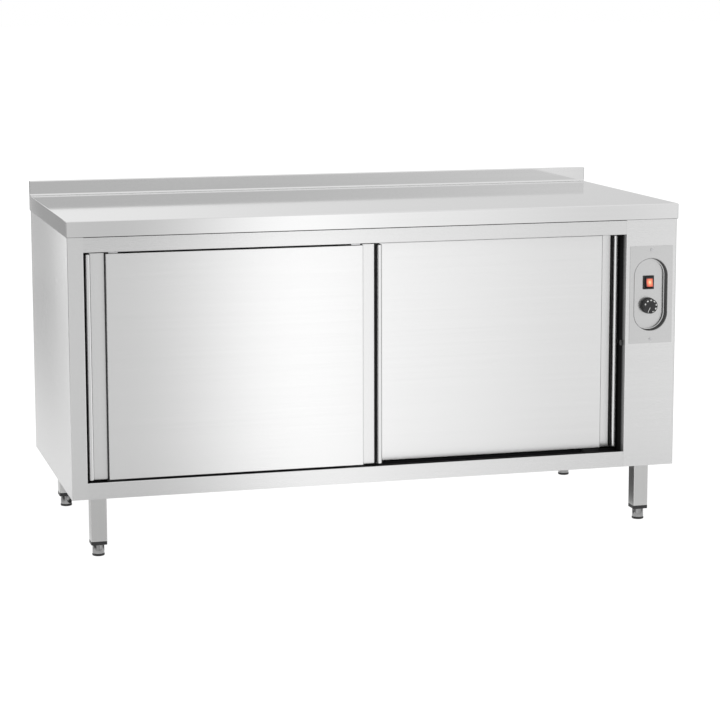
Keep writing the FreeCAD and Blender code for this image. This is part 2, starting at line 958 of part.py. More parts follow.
def bottom_guides():
    """Two upright ribs on flat feet, one under each door."""
    ribs = []
    x_span = (opening_left + track_end_gap, opening_right - track_end_gap)
    for middle in (front_door_middle, rear_door_middle):
        foot = block(x_span, about(middle, guide_base_width), (trough_floor, trough_floor + guide_base_thickness))
        rib = block(x_span, about(middle, guide_rib), (trough_floor, guide_rib_top))
        ribs.append(joined([foot, rib]))
    return ribs


def door_buffers():
    """Rubber buffers on both jambs, one for each end of each door's run."""
    buffers = []
    for middle in (front_door_middle, rear_door_middle):
        left = (opening_left, middle, buffer_height)
        right = (opening_right, middle, buffer_height)
        buffers.append(rod(buffer_radius, buffer_length, left, (1, 0, 0)))
        buffers.append(rod(buffer_radius, buffer_length, right, (-1, 0, 0)))
    return buffers


# One door, drawn with its left front lower corner at x = 0, y = 0

def rear_skin_space():
    """Room for the rear skin inside a door's edge flanges."""
    return block(
        (door_sheet, door_width - door_sheet),
        (door_thickness - door_sheet, door_thickness + overrun),
        (door_bottom + door_sheet, door_top - door_sheet),
    )


def front_skin(handle_width):
    """Tray that forms the door's front face and its four edges between the handles."""
    x_span = (handle_width, door_width - handle_width)
    outer = block(x_span, (0, door_thickness), (door_bottom, door_top))

    def front_edge(first, second):
        return same(first.y, 0) and same(second.y, 0)

    outer = rounded_edges(outer, door_edge_radius, front_edge)
    inner = block(
        (x_span[0] + door_sheet, x_span[1] - door_sheet),
        (door_sheet, door_thickness + overrun),
        (door_bottom + door_sheet, door_top - door_sheet),
    )
    tray = outer.cut(inner).cut(rear_skin_space())
    holes = [hanger_bolt_hole(x, y) for x, y in hanger_bolt_places()]
    return without(tray, holes)


def lip_shape(inset):
    """Handle lip with a round front and round ends, drawn in from its outside by an inset."""
    x_span = (inset, handle_lip_width - inset)
    z_span = (door_bottom + inset, door_top - inset)
    lip = block(x_span, (inset, door_thickness), z_span)

    def front_upright(first, second):
        return same(first.y, inset) and same(second.y, inset) and same(first.x, second.x)

    def end_edge(first, second):
        at_end = same(first.z, second.z) and (same(first.z, z_span[0]) or same(first.z, z_span[1]))
        at_rear = same(first.y, door_thickness) and same(second.y, door_thickness)
        return at_end and not at_rear

    lip = rounded_edges(lip, handle_lip_radius - inset, front_upright)
    return rounded_edges(lip, handle_end_radius - inset, end_edge)


def handle_profile(handle_width):
    """Handle at the door's left edge: a rounded hollow lip and the floor of the finger channel."""
    lip = lip_shape(0)
    floor = block(
        (handle_lip_width / 2, handle_width),
        (handle_channel_depth, door_thickness),
        (door_bottom, door_top),
    )
    solid = joined([lip, floor])
    z_span = (door_bottom + door_sheet, door_top - door_sheet)
    behind_floor = block(
        (handle_lip_width / 2, handle_width + overrun),
        (handle_channel_depth + door_sheet, door_thickness + overrun),
        z_span,
    )
    return solid.cut(lip_shape(door_sheet)).cut(behind_floor).cut(rear_skin_space())


def door_handles(handle_width):
    """The two handle profiles of one door, the right one a mirror image of the left."""
    left = handle_profile(handle_width)
    right = left.mirror(FreeCAD.Vector(door_width / 2, 0, 0), FreeCAD.Vector(1, 0, 0))
    return [left, right]


def rear_skin():
    """Flat rear face of the door."""
    inset = door_sheet + seam_gap
    return block(
        (inset, door_width - inset),
        (door_thickness - door_sheet, door_thickness),
        (door_bottom + inset, door_top - inset),
    )


def door_core(handle_width):
    """Stiff insulating board inside the front skin."""
    inset = door_sheet + door_edge_radius * core_inset_share
    return block(
        (handle_width + inset, door_width - handle_width - inset),
        (door_sheet, door_thickness - door_sheet),
        (door_bottom + inset, door_top - inset),
    )


def hanger_bolt_places():
    """Places of the bolts that hold both hangers."""
    reach = hanger_base_depth / 2 - hanger_bolt_head_radius
    return [(x, door_middle + side * reach) for x in hanger_places for side in (-1, 1)]


def hanger_bolt_hole(x, y):
    """Hole for one hanger bolt through the bracket's foot and the door's top edge."""
    start = (x, y, door_top - door_sheet - bolt_clearance)
    length = door_sheet + hanger_base_thickness + 2 * bolt_clearance
    return rod(hanger_bolt_radius + bolt_clearance, length, start, (0, 0, 1))


def hangers():
    """Brackets that stand on the door's top edge, each with the axle of its roller."""
    brackets = []
    for x in hanger_places:
        foot = block(
            about(x, hanger_width),
            about(door_middle, hanger_base_depth),
            (door_top, door_top + hanger_base_thickness),
        )
        plate = block(
            about(x, hanger_width),
            about(door_middle, hanger_plate),
            (door_top, axle_height + hanger_crown),
        )
        axle = rod(axle_radius, axle_end, (x, door_middle, axle_height), (0, 1, 0))
        head_start = (x, door_middle + axle_head_start, axle_height)
        head = rod(axle_head_radius, axle_head_length, head_start, (0, 1, 0))
        bracket = joined([foot, plate, axle, head])
        brackets.append(without(bracket, [hanger_bolt_hole(a, b) for a, b in hanger_bolt_places()]))
    return brackets


def hanger_bolts():
    """Bolts through the hangers' feet into the door's top edge."""
    bolts = []
    for x, y in hanger_bolt_places():
        seat = door_top + hanger_base_thickness
        length = hanger_base_thickness + door_sheet
        shank = rod(hanger_bolt_radius, length, (x, y, seat - length), (0, 0, 1))
        head = rod(hanger_bolt_head_radius, hanger_bolt_head_height, (x, y, seat), (0, 0, 1))
        bolts.append(joined([shank, head]))
    return bolts


def roller(x):
    """Grooved nylon wheel on a hanger's axle."""
    start = (x, door_middle + roller_near_side, axle_height)
    wheel = rod(roller_radius, roller_width, start, (0, 1, 0))
    bore_start = (x, door_middle, axle_height)
    bore = rod(axle_radius + axle_clearance, roller_far_side + overrun, bore_start, (0, 1, 0))
    groove_width = roller_width / 3
    groove_start = (x, start[1] + groove_width, axle_height)
    ring_outer = rod(roller_radius + overrun, groove_width, groove_start, (0, 1, 0))
    ring_inner = rod(roller_radius - roller_groove_depth, roller_width, start, (0, 1, 0))
    return wheel.cut(ring_outer.cut(ring_inner)).cut(bore)


def guide_shoes():
    """Nylon shoes under the door that straddle the guide rib."""
    shoes = []
    for x in hanger_places:
        shoe = block(about(x, shoe_length), about(door_middle, shoe_width), (shoe_bottom, door_bottom))

        def corner(first, second):
            return same(first.x, second.x) and same(first.y, second.y)

        shoe = rounded_edges(shoe, shoe_corner_radius, corner)
        slot = block(
            about(x, shoe_length + overrun),
            about(door_middle, guide_rib + 2 * shoe_rib_gap),
            (shoe_bottom - overrun, guide_rib_top + shoe_slot_headroom),
        )
        shoes.append(shoe.cut(slot))
    return shoes


def save_door(name, x, y, channel_width):
    """Write all the nodes of one door at its place, with finger channels of its own width."""
    handle_width = handle_lip_width + channel_width
    single = {
        "front_skin": [front_skin(handle_width)],
        "rear_skin": [rear_skin()],
        "core": [door_core(handle_width)],
        "handles": door_handles(handle_width),
        "hangers": hangers() + hanger_bolts(),
        "guide_shoes": guide_shoes(),
        "left_roller": [roller(hanger_places[0])],
        "right_roller": [roller(hanger_places[1])],
    }
    for piece, shapes in single.items():
        save(name + "_" + piece, [moved(shape, x, y, 0) for shape in shapes])


# Shelf

def shelf():
    """Shelf tray with its edges folded down."""
    x_span = (shelf_left, shelf_right)
    y_span = (shelf_front, shelf_rear)
    outer = block(x_span, y_span, (shelf_underside, shelf_top_height))

    def upper_edge(first, second):
        return same(first.z, shelf_top_height) and same(second.z, shelf_top_height)

    outer = rounded_edges(outer, shelf_edge_radius, upper_edge)
    inner = block(
        (x_span[0] + shelf_sheet, x_span[1] - shelf_sheet),
        (y_span[0] + shelf_sheet, y_span[1] - shelf_sheet),
        (shelf_underside - overrun, shelf_top_height - shelf_sheet),
    )
    return outer.cut(inner)


def shelf_upright(y):
    """Slotted channel on the left wall."""
    outer = block((opening_left, upright_left_face), about(y, upright_width), (upright_bottom, upright_top))
    inner = block(
        (opening_left - overrun, upright_left_face - upright_sheet),
        about(y, upright_width - 2 * upright_sheet),
        (upright_bottom - overrun, upright_top + overrun),
    )
    slots = []
    height = upright_bottom + upright_slot_pitch
    while height < upright_top - upright_slot_height:
        x_span = (opening_left, upright_left_face + overrun)
        slots.append(block(x_span, about(y, upright_slot_width), about(height, upright_slot_height)))
        height += upright_slot_pitch
    return without(outer.cut(inner), slots)


def shelf_clip(y):
    """Angle that carries the shelf's edge, standing on the left upright's face."""
    y_span = about(y, clip_width)
    plate = block(
        (upright_left_face, upright_left_face + clip_reach),
        y_span,
        (shelf_underside - clip_plate, shelf_underside),
    )
    web = block(
        (upright_left_face, upright_left_face + shelf_side_gap),
        y_span,
        (shelf_underside - clip_plate, shelf_underside + clip_height),
    )
    return joined([plate, web])


def both_walls(shape):
    """A piece on the left wall and its mirror image on the partition."""
    middle = (opening_left + opening_right) / 2
    return [shape, shape.mirror(FreeCAD.Vector(middle, 0, 0), FreeCAD.Vector(1, 0, 0))]


# Control panel

def control_plate():
    """Plate drawn into a deep slot-shaped cup, round at its mouth and floor, that sets the controls back."""
    y_span = (plate_front, body_front)
    plate = block(about(control_x, control_plate_width), y_span, about(control_z, control_plate_height))

    def corner(first, second):
        return same(first.x, second.x) and same(first.z, second.z)

    def cup_edge(y, half_width):
        def on_edge(first, second):
            same_depth = same(first.y, y) and same(second.y, y)
            return same_depth and same(abs(first.x - control_x), half_width)
        return on_edge

    plate = rounded_edges(plate, control_plate_corner_radius, corner)
    cup = stadium(recess_width, recess_height, (plate_front, recess_back), recess_wall)
    hollow = stadium(recess_width, recess_height, (plate_front - overrun, recess_floor), 0)
    outer_half = recess_width / 2 + recess_wall
    solid = joined([plate, cup])
    solid = rounded_edges(solid, mouth_rear_radius, cup_edge(body_front, outer_half))
    solid = rounded_edges(solid, recess_floor_radius + recess_wall, cup_edge(recess_back, outer_half))
    solid = solid.cut(hollow)
    solid = rounded_edges(solid, recess_mouth_radius, cup_edge(plate_front, recess_width / 2))
    solid = rounded_edges(solid, recess_floor_radius, cup_edge(recess_floor, recess_width / 2))
    cutters = []
    for z in plate_screw_places:
        start = (control_x, plate_front - overrun, z)
        cutters.append(rod(plate_screw_radius + bolt_clearance, 2 * overrun, start, (0, 1, 0)))
    switch_x = about(control_x, switch_body_width + 2 * switch_hole_clearance)
    switch_z_span = about(switch_z, switch_body_height + 2 * switch_hole_clearance)
    cutters.append(block(switch_x, (recess_floor - overrun, recess_back + overrun), switch_z_span))
    start = (control_x, recess_floor - overrun, thermostat_z)
    hole = thermostat_shaft_radius + switch_hole_clearance
    cutters.append(rod(hole, 2 * overrun + recess_wall, start, (0, 1, 0)))
    return without(solid, cutters)


def control_plate_screws():
    """Two slotted screws that hold the control plate."""
    screws = []
    for z in plate_screw_places:
        screws.append(pan_screw(
            plate_screw_head_radius, plate_screw_head_height, plate_screw_radius,
            plate_screw_length, (control_x, plate_front, z), (0, 1, 0),
        ))
    return screws


def switch_housing():
    """Switch body with its bezel in front of the recess floor, a pocket for the rocker and terminals."""
    bezel = block(about(control_x, bezel_width), (bezel_front, recess_floor), about(switch_z, bezel_height))

    def corner(first, second):
        return same(first.x, second.x) and same(first.z, second.z)

    bezel = rounded_edges(bezel, bezel_radius, corner)
    body = block(
        about(control_x, switch_body_width),
        (recess_floor, recess_floor + switch_body_depth),
        about(switch_z, switch_body_height),
    )
    terminals = []
    for side in (-1, 1):
        z = switch_z + side * switch_terminal_spacing
        terminals.append(block(
            about(control_x, switch_terminal_width),
            (recess_floor + switch_body_depth, recess_floor + switch_body_depth + switch_terminal_length),
            about(z, switch_terminal_thickness),
        ))
    pocket = block(
        about(control_x, switch_pocket_width),
        (bezel_front - overrun, bezel_front + switch_pocket_depth),
        about(switch_z, switch_pocket_height),
    )
    pin_reach = switch_pocket_width / 2 + rocker_pin_length + rocker_side_gap
    pin_hole = rod(
        rocker_pin_radius + rocker_pin_clearance, 2 * pin_reach,
        (control_x - pin_reach, rocker_pivot_y, switch_z), (1, 0, 0),
    )
    return joined([bezel, body] + terminals).cut(pocket).cut(pin_hole)


def switch_rocker():
    """Rocker with two dished faces, set tilted to its on position, on two side pins."""
    front = rocker_pivot_y - rocker_front_reach
    waist = rocker_pivot_y - rocker_pivot_depth
    back = rocker_pivot_y + rocker_back_depth
    outline = [
        (back, -rocker_back_half_height),
        (waist, -rocker_half_height),
        (front, -rocker_half_height),
        (front + rocker_dish, 0),
        (front, rocker_half_height),
        (waist, rocker_half_height),
        (back, rocker_back_half_height),
    ]
    width = switch_pocket_width - 2 * rocker_side_gap
    points = [FreeCAD.Vector(0, y, z) for y, z in outline]
    face = Part.Face(Part.makePolygon(points + [points[0]]))
    body = face.extrude(FreeCAD.Vector(width, 0, 0))
    body.translate(FreeCAD.Vector(control_x - width / 2, 0, switch_z))
    pin_reach = width / 2 + rocker_pin_length
    start = (control_x - pin_reach, rocker_pivot_y, switch_z)
    pins = rod(rocker_pin_radius, 2 * pin_reach, start, (1, 0, 0))
    rocker = joined([body, pins])
    pivot = FreeCAD.Vector(control_x, rocker_pivot_y, switch_z)
    rocker.rotate(pivot, FreeCAD.Vector(1, 0, 0), -rocker_tilt)
    return rocker


def thermostat_body():
    """Thermostat on the back of the recess floor, with the bore of its shaft."""
    body = block(
        about(control_x, thermostat_body_width),
        (recess_back, recess_back + thermostat_body_depth),
        about(thermostat_z, thermostat_body_height),
    )
    bore = rod(
        thermostat_shaft_radius + thermostat_shaft_clearance, thermostat_shaft_depth + 2 * bolt_clearance,
        (control_x, recess_back - bolt_clearance, thermostat_z), (0, 1, 0),
    )
    return body.cut(bore)


def thermostat_shaft():
    """Spindle that the knob is pressed on."""
    start = (control_x, shaft_front, thermostat_z)
    return rod(thermostat_shaft_radius, shaft_rear - shaft_front, start, (0, 1, 0))


def thermostat_knob():
    """Round knob with a skirt at its foot and a bore for the spindle."""
    skirt = rod(knob_radius, knob_skirt_height, (control_x, knob_back, thermostat_z), (0, -1, 0))
    grip = Part.makeCone(
        knob_radius, knob_radius - knob_grip_inset, knob_height - knob_skirt_height,
        FreeCAD.Vector(control_x, knob_back - knob_skirt_height, thermostat_z), FreeCAD.Vector(0, -1, 0),
    )
    knob = joined([skirt, grip])
    rim = []
    for edge in knob.Edges:
        if all(same(vertex.Point.y, knob_front) for vertex in edge.Vertexes):
            rim.append(edge)
    knob = knob.makeFillet(knob_edge_radius, rim)
    bore_start = (control_x, knob_back + overrun, thermostat_z)
    bore_radius = thermostat_shaft_radius + thermostat_shaft_clearance
    bore = rod(bore_radius, knob_bore_depth + overrun, bore_start, (0, -1, 0))
    return knob.cut(bore)


# Heating unit

def heater_leg_places():
    """Places in Y and Z where the heater's two straight legs pass through the shroud."""
    half_open = math.radians(heater_open_angle / 2)
    places = []
    for side in (-1, 1):
        radial = (side * math.sin(half_open), -math.cos(half_open))
        along = (-side * math.cos(half_open), -math.sin(half_open))
        y = fan_centre_y + radial[0] * heater_ring_radius + along[0] * heater_bend_radius
        z = fan_centre_z + radial[1] * heater_ring_radius + along[1] * heater_bend_radius
        places.append((y, z))
    return places


def motor_screw_places():
    """Places in Y and Z of the motor's four screws."""
    half = motor_screw_spacing / 2
    return [(fan_centre_y + a * half, fan_centre_z + b * half) for a in (-1, 1) for b in (-1, 1)]


def fan_shroud():
    """Flanged box on the partition that holds the heater and the fan wheel."""
    y_span = about(fan_centre_y, shroud_size)
    z_span = about(fan_centre_z, shroud_size)
    outer = block((partition_face, shroud_back), y_span, z_span)

    def back_edge(first, second):
        return same(first.x, shroud_back) and same(second.x, shroud_back)

    outer = rounded_edges(outer, bend_radius + shroud_sheet, back_edge)
    flange_size = shroud_size + 2 * shroud_flange
    flange = block(
        (partition_face, partition_face + shroud_sheet),
        about(fan_centre_y, flange_size),
        about(fan_centre_z, flange_size),
    )
    inner = block(
        (partition_face - overrun, shroud_back - shroud_sheet),
        about(fan_centre_y, shroud_size - 2 * shroud_sheet),
        about(fan_centre_z, shroud_size - 2 * shroud_sheet),
    )
    start_x = shroud_back - overrun
    shaft_hole = fan_shaft_radius + fan_shaft_hole_gap
    cutters = [rod(shaft_hole, 2 * overrun, (start_x, fan_centre_y, fan_centre_z), (1, 0, 0))]
    for y, z in heater_leg_places():
        cutters.append(rod(heater_tube_radius + heater_hole_gap, 2 * overrun, (start_x, y, z), (1, 0, 0)))
    for y, z in motor_screw_places():
        cutters.append(rod(motor_screw_radius + bolt_clearance, 2 * overrun, (start_x, y, z), (1, 0, 0)))
    return without(joined([outer, flange]).cut(inner), cutters)


def fan_wheel():
    """Radial wheel: hub, back plate and straight blades."""
    centre = (fan_start, fan_centre_y, fan_centre_z)
    plate_start = (fan_plate_start, fan_centre_y, fan_centre_z)
    plate = rod(fan_radius, fan_back_plate, plate_start, (1, 0, 0))
    hub_start = (fan_plate_start + fan_back_plate - fan_hub_length, fan_centre_y, fan_centre_z)
    pieces = [plate, rod(fan_hub_radius, fan_hub_length, hub_start, (1, 0, 0))]
    middle = FreeCAD.Vector(*centre)
    for index in range(fan_blade_count):
        blade = block(
            (fan_start, fan_plate_start),
            about(fan_centre_y, fan_blade_thickness),
            (fan_centre_z + fan_radius - fan_blade_width, fan_centre_z + fan_radius - fan_blade_thickness),
        )
        blade.rotate(middle, FreeCAD.Vector(1, 0, 0), 360.0 * index / fan_blade_count)
        pieces.append(blade)
    bore_start = (fan_start - overrun, fan_centre_y, fan_centre_z)
    bore = rod(fan_shaft_radius + fan_shaft_clearance, fan_blade_depth + 4 * overrun, bore_start, (1, 0, 0))
    return joined(pieces).cut(bore)


def fan_shaft():
    """Shaft from the motor to the fan wheel."""
    start_x = fan_plate_start + fan_back_plate - fan_hub_length
    return rod(fan_shaft_radius, shaft_end - start_x, (start_x, fan_centre_y, fan_centre_z), (1, 0, 0))


def fan_motor():
    """Motor with its square flange on the back of the shroud."""
    flange = block(
        (motor_start, motor_start + motor_flange_thickness),
        about(fan_centre_y, motor_flange_size),
        about(fan_centre_z, motor_flange_size),
    )
    can = rod(motor_radius, motor_end - motor_start, (motor_start, fan_centre_y, fan_centre_z), (1, 0, 0))
    bore_start = (motor_start - overrun, fan_centre_y, fan_centre_z)
    bore_length = motor_bearing_depth + overrun + 2 * bolt_clearance
    cutters = [rod(fan_shaft_radius + fan_shaft_clearance, bore_length, bore_start, (1, 0, 0))]
    for y, z in motor_screw_places():
        start = (motor_start - overrun, y, z)
        length = 2 * overrun
        cutters.append(rod(motor_screw_radius + bolt_clearance, length, start, (1, 0, 0)))
    return without(joined([flange, can]), cutters)


def motor_screws():
    """Four screws through the motor's flange and the shroud."""
    screws = []
    for y, z in motor_screw_places():
        start = (motor_start + motor_flange_thickness, y, z)
        length = motor_flange_thickness + shroud_sheet
        screws.append(pan_screw(
            motor_screw_head_radius, motor_screw_head_height, motor_screw_radius, length, start, (-1, 0, 0),
        ))
    return screws


def heater():
    """Ring of heater tube round the fan wheel, with two legs out through the shroud."""
    half_open = math.radians(heater_open_angle / 2)
    centre = FreeCAD.Vector(heater_plane, fan_centre_y, fan_centre_z)
    ends = []
    for side in (-1, 1):
        radial = FreeCAD.Vector(0, side * math.sin(half_open), -math.cos(half_open))
        along = FreeCAD.Vector(0, -side * math.cos(half_open), -math.sin(half_open))
        ends.append((centre + radial * heater_ring_radius, along))
    out = FreeCAD.Vector(1, 0, 0)
    bend = heater_bend_radius
    diagonal = math.sin(math.pi / 4)
    top = centre + FreeCAD.Vector(0, 0, heater_ring_radius)
    tips = []
    bends = []
    for end, along in ends:
        middle = end + along * (bend * diagonal) + out * (bend * (1 - diagonal))
        corner = end + (along + out) * bend
        tips.append((corner + out * (heater_leg_length + heater_wall_gap - bend), corner))
        bends.append((end, middle, corner))
    path = Part.Wire([
        Part.LineSegment(tips[0][0], tips[0][1]).toShape(),
        Part.Arc(bends[0][2], bends[0][1], bends[0][0]).toShape(),
        Part.Arc(ends[0][0], top, ends[1][0]).toShape(),
        Part.Arc(bends[1][0], bends[1][1], bends[1][2]).toShape(),
        Part.LineSegment(tips[1][1], tips[1][0]).toShape(),
    ])
    section = Part.Wire([Part.makeCircle(heater_tube_radius, tips[0][0], out)])
    return path.makePipeShell([section], True, False)


def terminal_block():
    """Terminal block on the base, with a row of screw wells in its top."""
    middle_x = (partition_face + inner_right) / 2
    body = block(
        about(middle_x, terminal_width),
        about(terminal_y, terminal_depth),
        (base_top, base_top + terminal_height),
    )
    pitch = terminal_width / terminal_screw_count
    wells = []
    for index in range(terminal_screw_count):
        x = middle_x + (index - (terminal_screw_count - 1) / 2) * pitch
        start = (x, terminal_y, base_top + terminal_height - terminal_screw_depth)
        wells.append(rod(terminal_screw_radius, terminal_screw_depth + overrun, start, (0, 0, 1)))
    return without(body, wells)


def cable_gland():
    """Cable gland through the base, and its nut on the inside."""
    collar_bottom = body_bottom - gland_collar_height
    cap_bottom = collar_bottom - gland_cap_height
    top = base_top + gland_inner_height
    collar = hexagon(gland_collar_radius, gland_collar_height, (gland_x, gland_y, collar_bottom))
    cap = rod(gland_cap_radius, gland_cap_height, (gland_x, gland_y, cap_bottom), (0, 0, 1))
    thread = rod(gland_thread_radius, top - collar_bottom, (gland_x, gland_y, collar_bottom), (0, 0, 1))
    bore_start = (gland_x, gland_y, cap_bottom - overrun)
    bore = rod(gland_bore_radius, top - cap_bottom + 2 * overrun, bore_start, (0, 0, 1))
    nut = hexagon(gland_nut_radius, gland_nut_height, (gland_x, gland_y, base_top))
    hole_radius = gland_thread_radius + gland_clearance
    nut_hole = rod(hole_radius, 4 * overrun, (gland_x, gland_y, collar_bottom), (0, 0, 1))
    return [joined([collar, cap, thread]).cut(bore), nut.cut(nut_hole)]


# Legs and feet

def leg_bolt_places():
    """Places of the bolts in all four leg plates, beside each tube."""
    across = leg_bolt_width_spacing / 2
    along = leg_bolt_depth_spacing / 2
    return [(x + a * across, y + b * along) for x, y in leg_places for a in (-1, 1) for b in (-1, 1)]


def leg_bolt_hole(x, y):
    """Hole for one leg bolt through its plate and the base."""
    start = (x, y, leg_top - overrun)
    return rod(leg_bolt_radius + bolt_clearance, leg_plate_thickness + body_sheet + 2 * overrun, start, (0, 0, 1))


def leg(x, y):
    """Square tube welded to its mounting plate."""
    def upright_edge(first, second):
        return same(first.x, second.x) and same(first.y, second.y)

    tube = block(about(x, leg_size), about(y, leg_size), (leg_bottom, leg_top))
    tube = rounded_edges(tube, leg_corner_radius, upright_edge)
    hollow_size = leg_size - 2 * leg_wall
    hollow = block(about(x, hollow_size), about(y, hollow_size), (leg_bottom - overrun, leg_top))
    hollow = rounded_edges(hollow, leg_corner_radius - leg_wall, upright_edge)
    plate = block(about(x, leg_plate_width), about(y, leg_plate_depth), (leg_top, body_bottom))
    plate = rounded_edges(plate, leg_corner_radius, upright_edge)
    holes = [leg_bolt_hole(a, b) for a, b in leg_bolt_places()]
    return without(joined([tube, plate]).cut(hollow), holes)


def leg_fasteners():
    """Bolts up through the leg plates, each with a nut on the base."""
    pieces = []
    for x, y in leg_bolt_places():
        head = hexagon(leg_bolt_head_radius, leg_bolt_head_height, (x, y, leg_top - leg_bolt_head_height))
        length = leg_plate_thickness + body_sheet + leg_nut_height + leg_bolt_tail
        shank = rod(leg_bolt_radius, length, (x, y, leg_top), (0, 0, 1))
        nut = hexagon(leg_bolt_head_radius, leg_nut_height, (x, y, base_top))
        hole_radius = leg_bolt_radius + bolt_clearance
        nut_hole = rod(hole_radius, leg_nut_height + 2 * overrun, (x, y, base_top - overrun), (0, 0, 1))
        pieces.append(joined([head, shank]))
        pieces.append(nut.cut(nut_hole))
    return pieces


def leg_plug(x, y):
    """Plastic plug that closes a leg and carries the foot's stem."""
    def upright_edge(first, second):
        return same(first.x, second.x) and same(first.y, second.y)

    flange = block(about(x, leg_size), about(y, leg_size), (foot_height, leg_bottom))
    flange = rounded_edges(flange, leg_corner_radius, upright_edge)
    insert_size = leg_size - 2 * leg_wall - 2 * plug_clearance
    insert = block(about(x, insert_size), about(y, insert_size), (leg_bottom, leg_bottom + plug_insert_height))
    insert = rounded_edges(insert, leg_corner_radius - leg_wall, upright_edge)
    start = (x, y, foot_height - overrun)
    bore_length = plug_insert_height + plug_flange_height + 2 * overrun
    bore = rod(foot_stem_radius + foot_stem_clearance, bore_length, start, (0, 0, 1))
    return joined([flange, insert]).cut(bore)


def foot(x, y):
    """Adjustable foot: round pad, slightly tapered sleeve and stem."""
    pad = rod(foot_pad_radius, foot_pad_height, (x, y, 0), (0, 0, 1))

    def rim(edge):
        return same(edge.BoundBox.ZLength, 0) and edge.BoundBox.XLength > foot_radius

    pad = pad.makeFillet(foot_pad_edge, [edge for edge in pad.Edges if rim(edge)])
    sleeve_height = foot_height - foot_top_gap - foot_pad_height
    sleeve = Part.makeCone(foot_radius, foot_top_radius, sleeve_height, FreeCAD.Vector(x, y, foot_pad_height))
    stem = rod(foot_stem_radius, foot_stem_length, (x, y, foot_pad_height), (0, 0, 1))
    return joined([pad, sleeve, stem])


# Fasteners of the rear panel and the track

def panel_screws():
    """Screws from behind through the side panels' returns, and from below through the track."""
    screws = []
    for x, z in panel_screw_places():
        screws.append(pan_screw(
            panel_screw_head_radius, panel_screw_head_height, panel_screw_radius,
            panel_screw_length, (x, body_rear, z), (0, -1, 0),
        ))
    for x in track_screw_places():
        screws.append(pan_screw(
            track_screw_head_radius, track_screw_head_height, track_screw_radius,
            track_wall + body_sheet, (x, track_screw_depth, track_top - track_wall), (0, 0, 1),
        ))
    return screws


save("worktop", worktop_skin())
save("worktop_core", worktop_core())
save("left_side_panel", left_side_panel())
save("right_side_panel", right_side_panel())
save("rear_panel", rear_panel())
save("base_panel", base_panel())
save("top_rail", top_rail())
save("bottom_rail", bottom_rail())
save("control_box_front", control_box_front())
save("partition_panel", partition_panel())
save("compartment_floor", compartment_floor())
save("left_liner", left_liner())
save("rear_liner", rear_liner())
save("ceiling_liner", ceiling_liner())
save("insulation_slabs", insulation_slabs())
save("door_track", door_track())
save("bottom_guides", bottom_guides())
save("door_buffers", door_buffers())
save_door("left_door", left_door_x, front_door_y, left_door_channel_width)
save_door("right_door", right_door_x, rear_door_y, right_door_channel_width)
save("shelf", shelf())
save("shelf_uprights", [piece for y in upright_places for piece in both_walls(shelf_upright(y))])
save("shelf_clips", [piece for y in upright_places for piece in both_walls(shelf_clip(y))])
save("control_plate", control_plate())
save("control_plate_screws", control_plate_screws())
save("switch_housing", switch_housing())
save("switch_rocker", switch_rocker())
save("thermostat_body", thermostat_body())
save("thermostat_shaft", thermostat_shaft())
save("thermostat_knob", thermostat_knob())
save("fan_shroud", fan_shroud())
save("fan_wheel", fan_wheel())
save("fan_shaft", fan_shaft())
save("fan_motor", fan_motor())
save("motor_screws", motor_screws())
save("heater", heater())
save("terminal_block", terminal_block())
save("cable_gland", cable_gland())
save("legs", [leg(x, y) for x, y in leg_places])
save("leg_bolts", leg_fasteners())
save("leg_plugs", [leg_plug(x, y) for x, y in leg_places])
save("panel_screws", panel_screws())
for leg_name, (foot_x, foot_y) in zip(leg_names, leg_places):
    save(leg_name + "_foot", foot(foot_x, foot_y))
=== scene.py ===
import functools
import json
import math

import bmesh
import bpy
from mathutils import Matrix, Vector


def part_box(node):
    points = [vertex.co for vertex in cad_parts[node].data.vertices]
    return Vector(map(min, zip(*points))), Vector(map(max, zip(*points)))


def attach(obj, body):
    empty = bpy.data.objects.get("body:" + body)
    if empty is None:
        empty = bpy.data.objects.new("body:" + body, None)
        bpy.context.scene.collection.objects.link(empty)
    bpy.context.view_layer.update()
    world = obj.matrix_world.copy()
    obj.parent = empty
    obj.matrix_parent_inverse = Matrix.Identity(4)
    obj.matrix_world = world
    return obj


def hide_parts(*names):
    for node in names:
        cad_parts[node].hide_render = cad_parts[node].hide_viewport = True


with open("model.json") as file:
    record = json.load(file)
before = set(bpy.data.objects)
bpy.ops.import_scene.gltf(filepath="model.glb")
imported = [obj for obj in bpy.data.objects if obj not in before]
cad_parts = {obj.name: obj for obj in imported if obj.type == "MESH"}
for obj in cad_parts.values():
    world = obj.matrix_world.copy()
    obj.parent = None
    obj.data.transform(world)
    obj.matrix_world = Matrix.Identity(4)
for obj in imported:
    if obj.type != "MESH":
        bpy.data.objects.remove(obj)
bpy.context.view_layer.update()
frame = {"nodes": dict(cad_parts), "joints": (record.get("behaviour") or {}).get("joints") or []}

# Plate warmer cabinet: finishes, small pieces, studio light and camera.
# Everything is in metres, in the cabinet's own frame.

MM = 0.001
SAME_PLACE = 0.01 * MM

DOORS = ("left_door", "right_door")
FEET = ("front_left_foot", "front_right_foot", "rear_left_foot", "rear_right_foot")


# Working helpers

def clear_selection():
    """Leave nothing selected before a new piece is started."""
    if bpy.context.mode != "OBJECT":
        bpy.ops.object.mode_set(mode="OBJECT")
    bpy.ops.object.select_all(action="DESELECT")


def settle(piece, name):
    """Name a new piece and bake its place into its mesh."""
    clear_selection()
    piece.select_set(True)
    bpy.context.view_layer.objects.active = piece
    bpy.ops.object.transform_apply(location=True, rotation=True, scale=True)
    piece.name = name
    piece.data.name = name
    return piece


